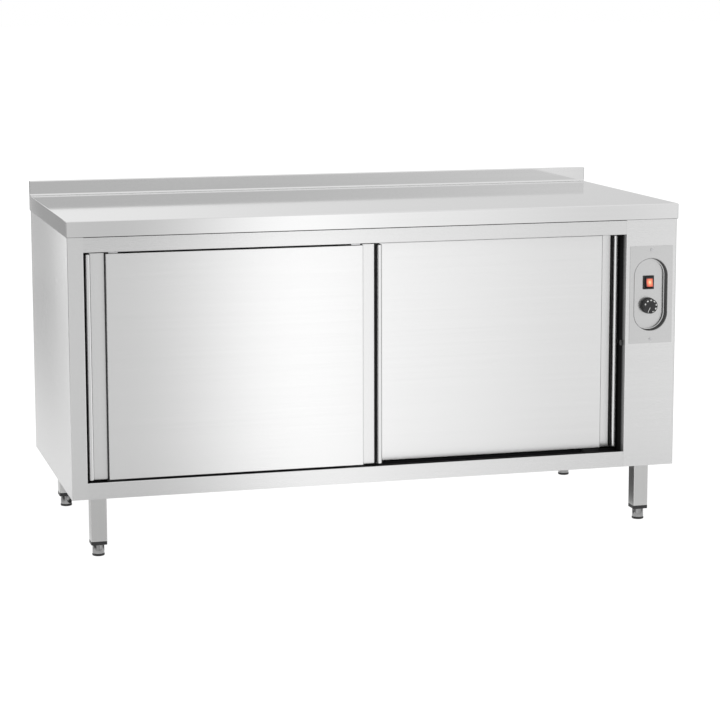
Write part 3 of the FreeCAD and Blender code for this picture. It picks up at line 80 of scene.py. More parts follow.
def start_edit(piece, kind):
    """Go into edit mode with nothing selected, to pick faces or edges."""
    clear_selection()
    bpy.context.view_layer.objects.active = piece
    piece.select_set(True)
    bpy.ops.object.mode_set(mode="EDIT")
    bpy.ops.mesh.select_mode(type=kind)
    bpy.ops.mesh.select_all(action="DESELECT")
    return bmesh.from_edit_mesh(piece.data)


def edit_faces(piece, wanted):
    """Go into edit mode with just the wanted faces selected."""
    mesh = start_edit(piece, "FACE")
    for face in mesh.faces:
        if wanted(face.calc_center_median(), face.normal):
            face.select_set(True)
    mesh.select_flush(True)
    bmesh.update_edit_mesh(piece.data)


def edit_edges(piece, wanted):
    """Go into edit mode with just the wanted edges selected."""
    mesh = start_edit(piece, "EDGE")
    for edge in mesh.edges:
        if wanted(edge.verts[0].co, edge.verts[1].co):
            edge.select_set(True)
    bmesh.update_edit_mesh(piece.data)


def inset(thickness, depth=0.0, each=False):
    """Draw a smaller outline inside the selected faces, or inside each one."""
    bpy.ops.mesh.inset(thickness=thickness, depth=depth, use_individual=each)


def extrude_along_y(distance):
    """Pull the selected faces out along the depth."""
    bpy.ops.mesh.extrude_region_move(TRANSFORM_OT_translate={"value": (0, distance, 0)})


def move_along_y(distance):
    """Move what is selected along the depth."""
    bpy.ops.transform.translate(value=(0, distance, 0))


def leave_edit(piece, smooth_angle=35.0):
    """Back to object mode, with soft shading up to an angle."""
    bpy.ops.object.mode_set(mode="OBJECT")
    clear_selection()
    piece.select_set(True)
    bpy.context.view_layer.objects.active = piece
    bpy.ops.object.shade_smooth_by_angle(angle=math.radians(smooth_angle))


def own_copy(piece, name, offset):
    """Copy of a finished piece with its own mesh, moved by an offset."""
    copy = piece.copy()
    copy.data = piece.data.copy()
    copy.name = name
    copy.data.name = name
    bpy.context.collection.objects.link(copy)
    copy.data.transform(Matrix.Translation(offset))
    return copy


def give(piece, material, body):
    """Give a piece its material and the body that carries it."""
    piece.data.materials.clear()
    piece.data.materials.append(material)
    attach(piece, body)


# Materials

# Noise values seldom leave this range.
NOISE_LOW = 0.3
NOISE_HIGH = 0.7


def fill_ramp(ramp, stops):
    """Give a colour ramp its stops, each a place from 0 to 1 and a colour."""
    while len(ramp.elements) < len(stops):
        ramp.elements.new(0.5)
    for element, (place, colour) in zip(ramp.elements, stops):
        element.position = place
    for element, (place, colour) in zip(ramp.elements, stops):
        element.color = (*colour, 1.0)


class Finish:
    """A material with its shader and a short way to add and join nodes."""

    def __init__(self, name):
        self.material = bpy.data.materials.new(name)
        self.material.use_nodes = True
        self.tree = self.material.node_tree
        self.shader = self.tree.nodes["Principled BSDF"]
        self.coordinates = self.add("ShaderNodeTexCoord").outputs["Object"]

    def add(self, kind):
        return self.tree.nodes.new(kind)

    def join(self, start, end):
        self.tree.links.new(start, end)

    def noise(self, scale, detail, roughness):
        """Noise of one scale, or of one scale for each direction."""
        if isinstance(scale, float):
            scale = (scale, scale, scale)
        mapping = self.add("ShaderNodeMapping")
        mapping.inputs["Scale"].default_value = scale
        self.join(self.coordinates, mapping.inputs["Vector"])
        noise = self.add("ShaderNodeTexNoise")
        noise.inputs["Scale"].default_value = 1.0
        noise.inputs["Detail"].default_value = detail
        noise.inputs["Roughness"].default_value = roughness
        self.join(mapping.outputs["Vector"], noise.inputs["Vector"])
        return noise.outputs["Fac"]

    def spread(self, value, low, high, start=NOISE_LOW, end=NOISE_HIGH):
        """Map a value that runs from start to end onto the range from low to high."""
        spread = self.add("ShaderNodeMapRange")
        spread.inputs["From Min"].default_value = start
        spread.inputs["From Max"].default_value = end
        spread.inputs["To Min"].default_value = low
        spread.inputs["To Max"].default_value = high
        self.join(value, spread.inputs["Value"])
        return spread.outputs["Result"]

    def place(self, axis):
        """One coordinate of the surface point."""
        parts = self.add("ShaderNodeSeparateXYZ")
        self.join(self.coordinates, parts.inputs["Vector"])
        return parts.outputs[axis]

    def scaled(self, colour, level):
        """The colour made darker by a level."""
        scaled = self.add("ShaderNodeVectorMath")
        scaled.operation = "SCALE"
        self.join(colour, scaled.inputs[0])
        self.join(level, scaled.inputs["Scale"])
        return scaled.outputs["Vector"]

    def with_painted_shade(self, colour, masks, depth):
        """The colour, darkened down to a depth and dulled where every mask is one: painted shade.
        """
        share = masks[0]
        for mask in masks[1:]:
            share = self.total(share, mask, "MULTIPLY")
        self.join(self.spread(share, 1.0, 0.0, 0.0, 1.0), self.shader.inputs["Metallic"])
        return self.scaled(colour, self.spread(share, 1.0, depth, 0.0, 1.0))

    def distance(self, value, middle):
        """How far a value lies from a middle, to either side."""
        return self.total(self.total(value, -middle), 0.0, "ABSOLUTE")

    def total(self, first, second, kind="ADD"):
        """Sum of two values, or another result of the two."""
        total = self.add("ShaderNodeMath")
        total.operation = kind
        for socket, value in zip(total.inputs, (first, second)):
            if isinstance(value, float):
                socket.default_value = value
            else:
                self.join(value, socket)
        return total.outputs["Value"]

    def tones(self, value, dark, light):
        """Colour between two tones by a noise value."""
        ramp = self.add("ShaderNodeValToRGB")
        fill_ramp(ramp.color_ramp, [(NOISE_LOW, dark), (NOISE_HIGH, light)])
        self.join(value, ramp.inputs["Fac"])
        return ramp.outputs["Color"]

    def bump(self, height, strength, distance):
        """Surface relief from a height value."""
        bump = self.add("ShaderNodeBump")
        bump.inputs["Strength"].default_value = strength
        bump.inputs["Distance"].default_value = distance
        self.join(height, bump.inputs["Height"])
        self.join(bump.outputs["Normal"], self.shader.inputs["Normal"])


def grey(level):
    """Neutral tone."""
    return (level, level, level)


def grain_scale(along, length, width):
    """Noise scale for grain that runs along one axis."""
    return tuple(1.0 / length if axis == along else 1.0 / width for axis in "xyz")


# Where the masks of painted shade in the front's folds begin and end.
JAMB_EDGE = (-344.4 * MM, -343.8 * MM)
JAMB_WALL = (-343.0 * MM, -322.0 * MM)
OPENING_LEFT = (-762.0 * MM, -760.5 * MM)
OPENING_RIGHT = (660.5 * MM, 662.0 * MM)
RAIL_FOLD = (-344.2 * MM, -342.8 * MM)
APRON_EDGE = (810.5 * MM, 811.3 * MM)
RECESS_MOUTH = (-346.2 * MM, -343.6 * MM)
RECESS_FLOOR = (-327.4 * MM, -326.8 * MM)

# Finger channels of the doors, behind the door's face, and the painted shade in them.
LIP_WIDTH = 12.5 * MM
CHANNEL_WIDTH = {"left_door": 37.5 * MM, "right_door": 32.5 * MM}
CHANNEL_FLOOR = 16 * MM
CHANNEL_WALL = (3.0 * MM, 4.6 * MM)
LEFT_WALL_SHADE = 2.0 * MM
RIGHT_WALL_SHADE = 5.0 * MM


def jamb_shade_masks(finish):
    """Masks of painted shade on the folded edges behind the front frame, which lie in the
    cabinet's own shade.
    """
    x = finish.place("X")
    y = finish.place("Y")
    return [
        finish.spread(y, 0.0, 1.0, *JAMB_EDGE),
        finish.spread(y, 0.55, 1.0, *JAMB_WALL),
        finish.spread(x, 0.0, 1.0, *OPENING_LEFT),
        finish.spread(x, 1.0, 0.0, *OPENING_RIGHT),
    ]


def rail_shade_masks(finish):
    """Mask of painted shade on the rails' folds behind the front face."""
    return [finish.spread(finish.place("Y"), 0.0, 1.0, *RAIL_FOLD)]


def door_channel_shade_masks(finish, door):
    """Masks of painted shade on a door's channel walls and on the strip of each channel's floor
    in their shade.
    """
    low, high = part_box(door + "_handles")
    face = low.y
    x = finish.place("X")
    y = finish.place("Y")
    from_floor = finish.distance(y, face + CHANNEL_FLOOR)
    left_wall = low.x + LIP_WIDTH + CHANNEL_WIDTH[door]
    right_wall = high.x - LIP_WIDTH
    clear_floor = finish.spread(from_floor, 0.0, 1.0, 0.3 * MM, 0.9 * MM)
    for wall, shade in ((left_wall, LEFT_WALL_SHADE), (right_wall, RIGHT_WALL_SHADE)):
        half = shade / 2
        from_middle = finish.distance(x, wall - half)
        in_shade = finish.spread(from_middle, 1.0, 0.0, half - 0.3 * MM, half + 0.5 * MM)
        clear_floor = finish.total(clear_floor, in_shade, "MAXIMUM")
    wall_start, wall_end = CHANNEL_WALL
    return [finish.spread(y, 0.0, 1.0, face + wall_start, face + wall_end), clear_floor]


def apron_shade_masks(finish):
    """Mask of painted shade along the apron's lowest edge, where it meets the body."""
    return [finish.spread(finish.place("Z"), 1.0, 0.0, *APRON_EDGE)]


def recess_shade_masks(finish):
    """Masks of painted shade on the walls of the control recess."""
    y = finish.place("Y")
    return [
        finish.spread(y, 0.0, 1.0, *RECESS_MOUTH),
        finish.spread(y, 1.0, 0.0, *RECESS_FLOOR),
    ]


# Brushed steel: length and width of its grain and of its wider streaks.
GRAIN_SIZE = (60 * MM, 0.35 * MM)
STREAK_SIZE = (700 * MM, 7 * MM)
GRAIN_ROUGHNESS = 0.015
GRAIN_DIRECTION = {"x": (1.0, 0.04, 0.0), "y": (0.04, 1.0, 0.0), "z": (0.0, 0.04, 1.0)}


def brushed_steel(
    name, tone, roughness, along, anisotropy, streak=0.008, masks=None, depth=1.0,
):
    """Brushed stainless sheet: fine grain, faint wider streaks, soft handling marks and painted
    shade where masks are given.
    """
    finish = Finish(name)
    shader = finish.shader
    fine = finish.noise(grain_scale(along, *GRAIN_SIZE), 3.0, 0.6)
    wide = finish.noise(grain_scale(along, *STREAK_SIZE), 2.0, 0.55)
    marks = finish.noise(5.0, 4.0, 0.6)
    dark = tuple(channel * (1 - streak) for channel in tone)
    light = tuple(min(channel * (1 + streak), 1.0) for channel in tone)
    colour = finish.tones(wide, dark, light)
    # Painted shade: where the masks say, the colour is darkened and the metal dulled.
    if masks:
        colour = finish.with_painted_shade(colour, masks(finish), depth)
    finish.join(colour, shader.inputs["Base Color"])
    rough = finish.total(
        finish.spread(fine, roughness - GRAIN_ROUGHNESS, roughness + GRAIN_ROUGHNESS),
        finish.spread(marks, -0.006, 0.008),
    )
    finish.join(rough, shader.inputs["Roughness"])
    finish.bump(fine, 0.025, 0.15 * MM)
    shader.inputs["Metallic"].default_value = 1.0
    shader.inputs["Specular IOR Level"].default_value = 0.0
    shader.inputs["Anisotropic"].default_value = anisotropy
    shader.inputs["Anisotropic Rotation"].default_value = 0.25
    direction = finish.add("ShaderNodeCombineXYZ")
    for socket, value in zip(direction.inputs, GRAIN_DIRECTION[along]):
        socket.default_value = value
    finish.join(direction.outputs["Vector"], shader.inputs["Tangent"])
    return finish.material


def plain_metal(name, tone, roughness, grain=1.2 * MM, metallic=1.0):
    """Cast, rolled or plated metal with a fine even surface and dull patches."""
    finish = Finish(name)
    shader = finish.shader
    fine = finish.noise(1 / grain, 3.0, 0.55)
    patches = finish.noise(30.0, 3.0, 0.5)
    dark = tuple(channel * 0.88 for channel in tone)
    finish.join(finish.tones(patches, dark, tone), shader.inputs["Base Color"])
    rough = finish.total(
        finish.spread(fine, roughness - 0.04, roughness + 0.04),
        finish.spread(patches, 0.05, -0.03),
    )
    finish.join(rough, shader.inputs["Roughness"])
    finish.bump(fine, 0.08, 0.1 * MM)
    shader.inputs["Metallic"].default_value = metallic
    return finish.material


def moulding(name, tone, roughness, sheen=0.0):
    """Moulded plastic or rubber with a fine spark-eroded surface."""
    finish = Finish(name)
    shader = finish.shader
    pits = finish.noise(2600.0, 2.0, 0.5)
    cloud = finish.noise(60.0, 3.0, 0.5)
    light = tuple(min(channel * 1.18 + 0.003, 1.0) for channel in tone)
    finish.join(finish.tones(cloud, tone, light), shader.inputs["Base Color"])
    rough = finish.spread(cloud, roughness - 0.05, roughness + 0.05)
    finish.join(rough, shader.inputs["Roughness"])
    finish.bump(pits, 0.12, 0.06 * MM)
    shader.inputs["Sheen Weight"].default_value = sheen
    shader.inputs["Specular IOR Level"].default_value = 0.28
    return finish.material


def raw_board():
    """Pressed board: fine chips in several tones."""
    finish = Finish("raw board")
    shader = finish.shader
    chips = finish.noise((160.0, 220.0, 500.0), 5.0, 0.65)
    colour = finish.tones(chips, (0.34, 0.24, 0.14), (0.66, 0.52, 0.36))
    finish.join(colour, shader.inputs["Base Color"])
    finish.join(finish.spread(chips, 0.75, 0.92), shader.inputs["Roughness"])
    finish.bump(chips, 0.3, 0.3 * MM)
    return finish.material


def mineral_wool():
    """Matted yellow-grey fibres."""
    finish = Finish("mineral wool")
    shader = finish.shader
    fibres = finish.noise((90.0, 90.0, 900.0), 6.0, 0.7)
    colour = finish.tones(fibres, (0.38, 0.33, 0.18), (0.74, 0.68, 0.44))
    finish.join(colour, shader.inputs["Base Color"])
    shader.inputs["Roughness"].default_value = 0.95
    shader.inputs["Sheen Weight"].default_value = 0.3
    finish.bump(fibres, 0.6, 1.5 * MM)
    return finish.material


def foam_board():
    """Stiff foam with fine closed cells."""
    finish = Finish("foam board")
    shader = finish.shader
    cells = finish.noise(900.0, 3.0, 0.5)
    colour = finish.tones(cells, (0.62, 0.58, 0.46), (0.84, 0.80, 0.68))
    finish.join(colour, shader.inputs["Base Color"])
    shader.inputs["Roughness"].default_value = 0.9
    finish.bump(cells, 0.4, 0.4 * MM)
    return finish.material


# Rocker's lit window: its corners and its lamp in x and z from the rocker's pivot.
WINDOW_X = (-7.8 * MM, 9.4 * MM)
WINDOW_Z = (-11.6 * MM, 10.4 * MM)
WINDOW_EDGE = 0.5 * MM
LAMP = (1.6 * MM, 0.6 * MM)
LAMP_REACH = 11.0 * MM
LAMP_STRETCH = 0.55
LENS_TONES = (
    (0.0, (1.0, 0.62, 0.36)),
    (0.4, (0.86, 0.22, 0.10)),
    (0.75, (0.56, 0.09, 0.05)),
    (1.0, (0.36, 0.05, 0.035)),
)
LENS_FRAME = (0.012, 0.012, 0.013)


def lit_lens(pivot):
    """Rocker face: an orange-red window with a small lamp behind it, in a black frame."""
    finish = Finish("lit red lens")
    shader = finish.shader
    x = finish.total(finish.place("X"), -pivot.x)
    z = finish.total(finish.place("Z"), -pivot.z)

    def squared(value, middle):
        return finish.total(finish.total(value, -middle), 2.0, "POWER")

    def between(value, low, high):
        inside_low = finish.spread(value, 0.0, 1.0, low - WINDOW_EDGE, low + WINDOW_EDGE)
        inside_high = finish.spread(value, 1.0, 0.0, high - WINDOW_EDGE, high + WINDOW_EDGE)
        return finish.total(inside_low, inside_high, "MULTIPLY")

    upright = finish.total(squared(z, LAMP[1]), LAMP_STRETCH, "MULTIPLY")
    reach = finish.total(finish.total(squared(x, LAMP[0]), upright), 0.5, "POWER")
    glow = finish.add("ShaderNodeValToRGB")
    fill_ramp(glow.color_ramp, LENS_TONES)
    finish.join(finish.spread(reach, 0.0, 1.0, 0.0, LAMP_REACH), glow.inputs["Fac"])
    window = finish.total(between(x, *WINDOW_X), between(z, *WINDOW_Z), "MULTIPLY")
    lit = finish.scaled(glow.outputs["Color"], window)
    framed = finish.add("ShaderNodeVectorMath")
    framed.operation = "ADD"
    finish.join(lit, framed.inputs[0])
    framed.inputs[1].default_value = LENS_FRAME
    finish.join(framed.outputs["Vector"], shader.inputs["Base Color"])
    finish.join(lit, shader.inputs["Emission Color"])
    shader.inputs["Emission Strength"].default_value = 0.42
    ripple = finish.noise(700.0, 1.0, 0.4)
    finish.join(finish.spread(ripple, 0.22, 0.30), shader.inputs["Roughness"])
    finish.bump(ripple, 0.1, 0.2 * MM)
    shader.inputs["Coat Weight"].default_value = 0.2
    shader.inputs["Coat Roughness"].default_value = 0.1
    return finish.material


# The masks below give painted shade in the front's folds, on the rails, along the apron's foot
# and in the control recess.
steel_worktop = brushed_steel(
    "worktop steel", grey(0.74), 0.05, "x", 0.3, masks=apron_shade_masks, depth=0.06,
)
steel_body = brushed_steel(
    "body steel", grey(0.72), 0.26, "x", 0.5, masks=jamb_shade_masks, depth=0.02,
)
steel_rail = brushed_steel(
    "rail steel", grey(0.70), 0.26, "x", 0.5, masks=rail_shade_masks, depth=0.015,
)
steel_side = brushed_steel(
    "side steel", grey(0.72), 0.26, "y", 0.5, masks=jamb_shade_masks, depth=0.02,
)
steel_panel = brushed_steel(
    "control panel steel", grey(0.605), 0.22, "x", 0.4, masks=recess_shade_masks, depth=0.16,
)
steel_lining = brushed_steel("lining steel", grey(0.50), 0.38, "y", 0.4)
steel_hidden = brushed_steel("rear steel", grey(0.56), 0.40, "x", 0.4)
steel_leg = brushed_steel("leg steel", (0.585, 0.585, 0.58), 0.30, "z", 0.4)
steel_foot = brushed_steel("foot steel", grey(0.30), 0.20, "z", 0.3, streak=0.08)
plated_steel = plain_metal("plated steel", (0.62, 0.62, 0.63), 0.28)
track_metal = plain_metal("track aluminium", (0.62, 0.63, 0.64), 0.42)
# Near-black guides: painted shade for the dark sill under the doors.
shade_dark_track_metal = plain_metal("track aluminium in painted shade", (0.035, 0.035, 0.037), 0.5)
heater_metal = plain_metal("heater sheath", (0.10, 0.095, 0.09), 0.55)
motor_enamel = plain_metal(
    "motor enamel", (0.05, 0.05, 0.055), 0.5, grain=2.0 * MM, metallic=0.0,
)
black_moulding = moulding("black moulding", (0.022, 0.022, 0.023), 0.46)
white_moulding = moulding("nylon moulding", (0.74, 0.73, 0.69), 0.42)
black_rubber = moulding("black rubber", grey(0.018), 0.7, sheen=0.2)
print_white = moulding("white print", (0.86, 0.86, 0.84), 0.5)
board = raw_board()
wool = mineral_wool()
foam = foam_board()

node_finish = {
    "worktop": steel_worktop,
    "worktop_core": board,
    "left_side_panel": steel_side,
    "right_side_panel": steel_side,
    "rear_panel": steel_hidden,
    "base_panel": steel_hidden,
    "top_rail": steel_rail,
    "bottom_rail": steel_rail,
    "control_box_front": steel_body,
    "partition_panel": steel_lining,
    "compartment_floor": steel_lining,
    "left_liner": steel_lining,
    "rear_liner": steel_lining,
    "ceiling_liner": steel_lining,
    "insulation_slabs": wool,
    "door_track": track_metal,
    "bottom_guides": shade_dark_track_metal,
    "door_buffers": black_rubber,
    "shelf": steel_lining,
    "shelf_uprights": steel_lining,
    "shelf_clips": steel_lining,
    "control_plate": steel_panel,
    "control_plate_screws": plated_steel,
    "switch_housing": black_moulding,
    "switch_rocker": black_moulding,
    "thermostat_body": black_moulding,
    "thermostat_shaft": plated_steel,
    "thermostat_knob": black_moulding,
    "fan_shroud": steel_lining,
    "fan_wheel": track_metal,
    "fan_shaft": plated_steel,
    "fan_motor": motor_enamel,
    "motor_screws": plated_steel,
    "heater": heater_metal,
    "terminal_block": white_moulding,
    "cable_gland": black_moulding,
    "legs": steel_leg,
    "leg_bolts": plated_steel,
    "leg_plugs": black_moulding,
    "panel_screws": plated_steel,
}
for foot in FEET:
    node_finish[foot] = steel_foot

# Tone of each door's skin and of its handles.
DOOR_TONES = {"left_door": (0.755, 0.72), "right_door": (0.77, 0.76)}
for door in DOORS:
    skin_tone, handle_tone = DOOR_TONES[door]
    # Painted shade in each door's finger channels.
    channel_shade_masks = functools.partial(door_channel_shade_masks, door=door)
    door_name = door.replace("_", " ")
    node_finish[door + "_front_skin"] = brushed_steel(
        door_name + " steel", grey(skin_tone), 0.24, "x", 0.5,
        masks=channel_shade_masks, depth=0.05,
    )
    node_finish[door + "_handles"] = brushed_steel(
        door_name + " handle steel", grey(handle_tone), 0.25, "z", 0.3,
        masks=channel_shade_masks, depth=0.02,
    )
    node_finish[door + "_rear_skin"] = steel_lining
    node_finish[door + "_core"] = foam
    node_finish[door + "_hangers"] = plated_steel
    node_finish[door + "_guide_shoes"] = black_moulding
    node_finish[door + "_left_roller"] = white_moulding
    node_finish[door + "_right_roller"] = white_moulding

for node, finish in node_finish.items():
    for material_slot in frame["nodes"][node].material_slots:
        material_slot.material = finish


# Thermostat knob

knob_low, knob_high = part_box("thermostat_knob")
knob_middle = (knob_low + knob_high) / 2
knob_radius = (knob_high.x - knob_low.x) / 2
knob_back = knob_high.y
knob_front = knob_low.y


def thermostat_knob():
    """Fluted knob with a skirt, a sunk face and a bore for its spindle."""
    skirt = 4 * MM
    skirt_step = 0.9 * MM
    cap_height = 1.0 * MM
    grip_taper = 0.965
    flute_pitch = 3
    flute_depth = 0.55 * MM
    bore_radius = 3.1 * MM
    bore_depth = 13 * MM
    clear_selection()
    bpy.ops.mesh.primitive_cylinder_add(
        vertices=72, radius=knob_radius, depth=skirt, rotation=(math.pi / 2, 0, 0),
        location=(knob_middle.x, knob_back - skirt / 2, knob_middle.z),
    )
    knob = settle(bpy.context.object, "knob")
    front = knob_back - skirt
    edit_faces(knob, lambda c, n: n.y < -0.9)
    inset(skirt_step)
    extrude_along_y(knob_front - front + cap_height)
    bpy.ops.transform.resize(
        value=(grip_taper, 1, grip_taper),
        center_override=(knob_middle.x, front, knob_middle.z),
    )
    bpy.ops.object.mode_set(mode="OBJECT")
    grip_sides = sorted(
        (face.index for face in knob.data.polygons
         if abs(face.normal.y) < 0.5 and face.center.y < front - 1 * MM),
        key=lambda index: math.atan2(
            knob.data.polygons[index].center.z - knob_middle.z,
            knob.data.polygons[index].center.x - knob_middle.x,
        ),
    )
    centres = [knob.data.polygons[index].center.copy() for index in grip_sides[::flute_pitch]]
    edit_faces(knob, lambda c, n: any((c - centre).length < SAME_PLACE for centre in centres))
    inset(0.35 * MM, -flute_depth, each=True)
    # The cap: a rounded rim round a sunk face.
    edit_faces(knob, lambda c, n: n.y < -0.9 and c.y < knob_front + 1.2 * MM)
    extrude_along_y(-0.6 * MM)
    inset(0.6 * MM)
    move_along_y(-0.4 * MM)
    inset(0.8 * MM)
    inset(0.4 * MM)
    move_along_y(0.35 * MM)
    edit_faces(knob, lambda c, n: n.y > 0.9)
    inset(knob_radius - bore_radius)
    extrude_along_y(-bore_depth)
    leave_edit(knob)
    give(knob, black_moulding, "thermostat_knob")
    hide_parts("thermostat_knob")


# Print on the knob's face. Angles are in degrees, from +X towards +Z.
PRINT_LIFT = 0.32 * MM
NUMBER_ANGLES = (160, 123, 86, 50, 13, -24, -61)
NUMBER_RADIUS = 15.6 * MM
NUMBER_SIZE = 4.6 * MM
STROKE = 0.12 * MM
FIRST_NUMBER = 30
NUMBER_STEP = 10
POINTER_ANGLE = 246
POINTER_REACH = (3.7 * MM, 17.8 * MM)
POINTER_WIDTH = 0.95 * MM


def knob_face_place(angle, radius):
    """Point on the knob's face at an angle and a radius."""
    turn = math.radians(angle)
    return Vector((
        knob_middle.x + radius * math.cos(turn),
        knob_front + PRINT_LIFT,
        knob_middle.z + radius * math.sin(turn),
    ))


def knob_numbers():
    """Printed temperatures round the knob's face."""
    for place, angle in enumerate(NUMBER_ANGLES):
        centre = knob_face_place(angle, NUMBER_RADIUS)
        clear_selection()
        bpy.ops.object.text_add(location=centre)
        number = bpy.context.object
        number.data.body = str(FIRST_NUMBER + NUMBER_STEP * place)
        number.data.size = NUMBER_SIZE
        number.data.extrude = STROKE
        number.data.offset = STROKE
        number.data.align_x = "CENTER"
        number.data.align_y = "CENTER"
        number.rotation_euler = (math.pi / 2, 0, 0)
        bpy.ops.object.convert(target="MESH")
        number = settle(bpy.context.object, "knob_number_" + str(place + 1))
        edit_faces(number, lambda c, n: True)
        bpy.ops.mesh.remove_doubles(threshold=0.001 * MM)
        bpy.ops.transform.rotate(
            value=math.radians(angle - 90), orient_axis="Y", center_override=centre,
        )
        leave_edit(number)
        give(number, print_white, "thermostat_knob")


def knob_pointer():
    """Thin white line from near the middle of the knob's face to its rim."""
    start, end = (knob_face_place(POINTER_ANGLE, radius) for radius in POINTER_REACH)
    clear_selection()
    bpy.ops.mesh.primitive_cube_add(size=1, location=(start + end) / 2)
    line = bpy.context.object
    line.scale = ((end - start).length, 0.3 * MM, POINTER_WIDTH)
    line.rotation_euler = (0, -math.radians(POINTER_ANGLE), 0)
    line = settle(line, "knob_pointer")
    edit_edges(line, lambda a, b: True)
    bpy.ops.mesh.bevel(offset=STROKE, segments=2)
    leave_edit(line)
    give(line, print_white, "thermostat_knob")


# Rocker switch

rocker_joint = next(joint for joint in frame["joints"] if joint["name"] == "switch_rock")
rocker_pivot = Vector(rocker_joint["pos_m"])
ROCKER_HALF_WIDTH = 9.9 * MM
ROCKER_HALF_HEIGHT = 12.4 * MM
ROCKER_BACK_HALF_HEIGHT = 8.0 * MM
ROCKER_AT_REST = 9


def rocker_lens():
    """Lens of the rocker: two dished faces that meet in a shallow valley."""
    front = -13.0 * MM
    back = 6.0 * MM
    valley = 2 * MM
    clear_selection()
    bpy.ops.mesh.primitive_cube_add(
        size=1, scale=(2 * ROCKER_HALF_WIDTH, back - front, 2 * ROCKER_HALF_HEIGHT),
        location=rocker_pivot + Vector((0, (front + back) / 2, 0)),
    )
    rocker = settle(bpy.context.object, "rocker_lens")
    edit_faces(rocker, lambda c, n: True)
    bpy.ops.mesh.bisect(plane_co=rocker_pivot, plane_no=(0, 0, 1))
    bpy.ops.mesh.select_all(action="SELECT")
    bpy.ops.mesh.bisect(plane_co=rocker_pivot + Vector((0, -6 * MM, 0)), plane_no=(0, 1, 0))
    edit_edges(rocker, lambda a, b: (
        max(a.y, b.y) < rocker_pivot.y - 12 * MM
        and abs(a.z - rocker_pivot.z) < SAME_PLACE
        and abs(b.z - rocker_pivot.z) < SAME_PLACE
    ))
    move_along_y(valley)
    edit_edges(rocker, lambda a, b: (
        min(a.y, b.y) > rocker_pivot.y + 5 * MM
        and abs(a.z - b.z) < SAME_PLACE
        and abs(a.z - rocker_pivot.z) > 10 * MM
    ))
    bpy.ops.transform.resize(
        value=(1, 1, ROCKER_BACK_HALF_HEIGHT / ROCKER_HALF_HEIGHT),
        center_override=rocker_pivot,
    )
    edit_faces(rocker, lambda c, n: n.y < -0.9)
    inset(1.1 * MM)
    move_along_y(0.5 * MM)
    edit_edges(rocker, lambda a, b: True)
    bpy.ops.mesh.bevel(offset=0.35 * MM, segments=3)
    bpy.ops.mesh.select_all(action="SELECT")
    bpy.ops.transform.rotate(
        value=math.radians(ROCKER_AT_REST), orient_axis="X", center_override=rocker_pivot,
    )
    leave_edit(rocker)
    give(rocker, lit_lens(rocker_pivot), "switch_rocker")
    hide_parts("switch_rocker")


def rocker_pins():
    """The two pins that the rocker turns on."""
    for side, name in ((-1, "rocker_pin_left"), (1, "rocker_pin_right")):
        clear_selection()
        bpy.ops.mesh.primitive_cylinder_add(
            vertices=24, radius=1.5 * MM, depth=1.4 * MM, rotation=(0, math.pi / 2, 0),
            location=rocker_pivot + Vector((side * (ROCKER_HALF_WIDTH + 0.5 * MM), 0, 0)),
        )
        pin = settle(bpy.context.object, name)
        edit_edges(pin, lambda a, b: (
            abs(a.x - b.x) < SAME_PLACE
            and side * (a.x - rocker_pivot.x) > ROCKER_HALF_WIDTH + 1 * MM
        ))
        bpy.ops.mesh.bevel(offset=0.3 * MM, segments=2)
        leave_edit(pin)
        give(pin, black_moulding, "switch_rocker")


# Adjustable feet

# Outlines of half a foot's sleeve and pad, as radius and height in millimetres.
SLEEVE_PROFILE = (
    (0, 5.6), (14.6, 5.6), (15.0, 6.2), (15.1, 9.0),
    (14.7, 28.4), (14.2, 29.3), (5.2, 29.4), (0, 29.4),
)
PAD_PROFILE = (
    (0, 0), (14.3, 0), (15.3, 0.5), (15.7, 1.6), (15.7, 4.2), (15.3, 5.2), (14.6, 5.5), (0, 5.5),
)
STEM_BOTTOM = 29.0 * MM
THREAD_RADIUS = 4.9 * MM
THREAD_ROOT = 4.3 * MM
THREAD_PITCH = 1.5 * MM
STEM_BEVEL = 1.0 * MM


def turned_piece(name, profile, centre, sides):
    """Piece turned on an upright axis from a profile of radius and height points."""
    clear_selection()
    mesh = bpy.data.meshes.new(name)
    piece = bpy.data.objects.new(name, mesh)
    bpy.context.collection.objects.link(piece)
    points = [(centre.x + radius, centre.y, centre.z + height) for radius, height in profile]
    mesh.from_pydata(points, [(index, index + 1) for index in range(len(points) - 1)], [])
    bpy.context.view_layer.objects.active = piece
    piece.select_set(True)
    bpy.ops.object.mode_set(mode="EDIT")
    bpy.ops.mesh.select_all(action="SELECT")
    bpy.ops.mesh.spin(steps=sides, angle=2 * math.pi, center=centre, axis=(0, 0, 1))
    bpy.ops.mesh.select_all(action="SELECT")
    bpy.ops.mesh.remove_doubles(threshold=0.005 * MM)
    bpy.ops.mesh.normals_make_consistent(inside=False)
    leave_edit(piece, 30)
    return piece


def foot_stem(name, centre, low, high):
    """Screw stem with its thread."""
    profile = [(0, low), (THREAD_RADIUS, low)]
    height = low + THREAD_PITCH
    while height < high - THREAD_PITCH:
        profile.append((THREAD_RADIUS, height))
        profile.append((THREAD_ROOT, height + THREAD_PITCH / 2))
        height += THREAD_PITCH
    profile.extend([
        (THREAD_RADIUS, high - STEM_BEVEL), (THREAD_RADIUS - STEM_BEVEL, high), (0, high),
    ])
    return turned_piece(name, profile, centre, 24)


def in_metres(profile):
    """A profile given in millimetres, in metres."""
    return [(radius * MM, height * MM) for radius, height in profile]


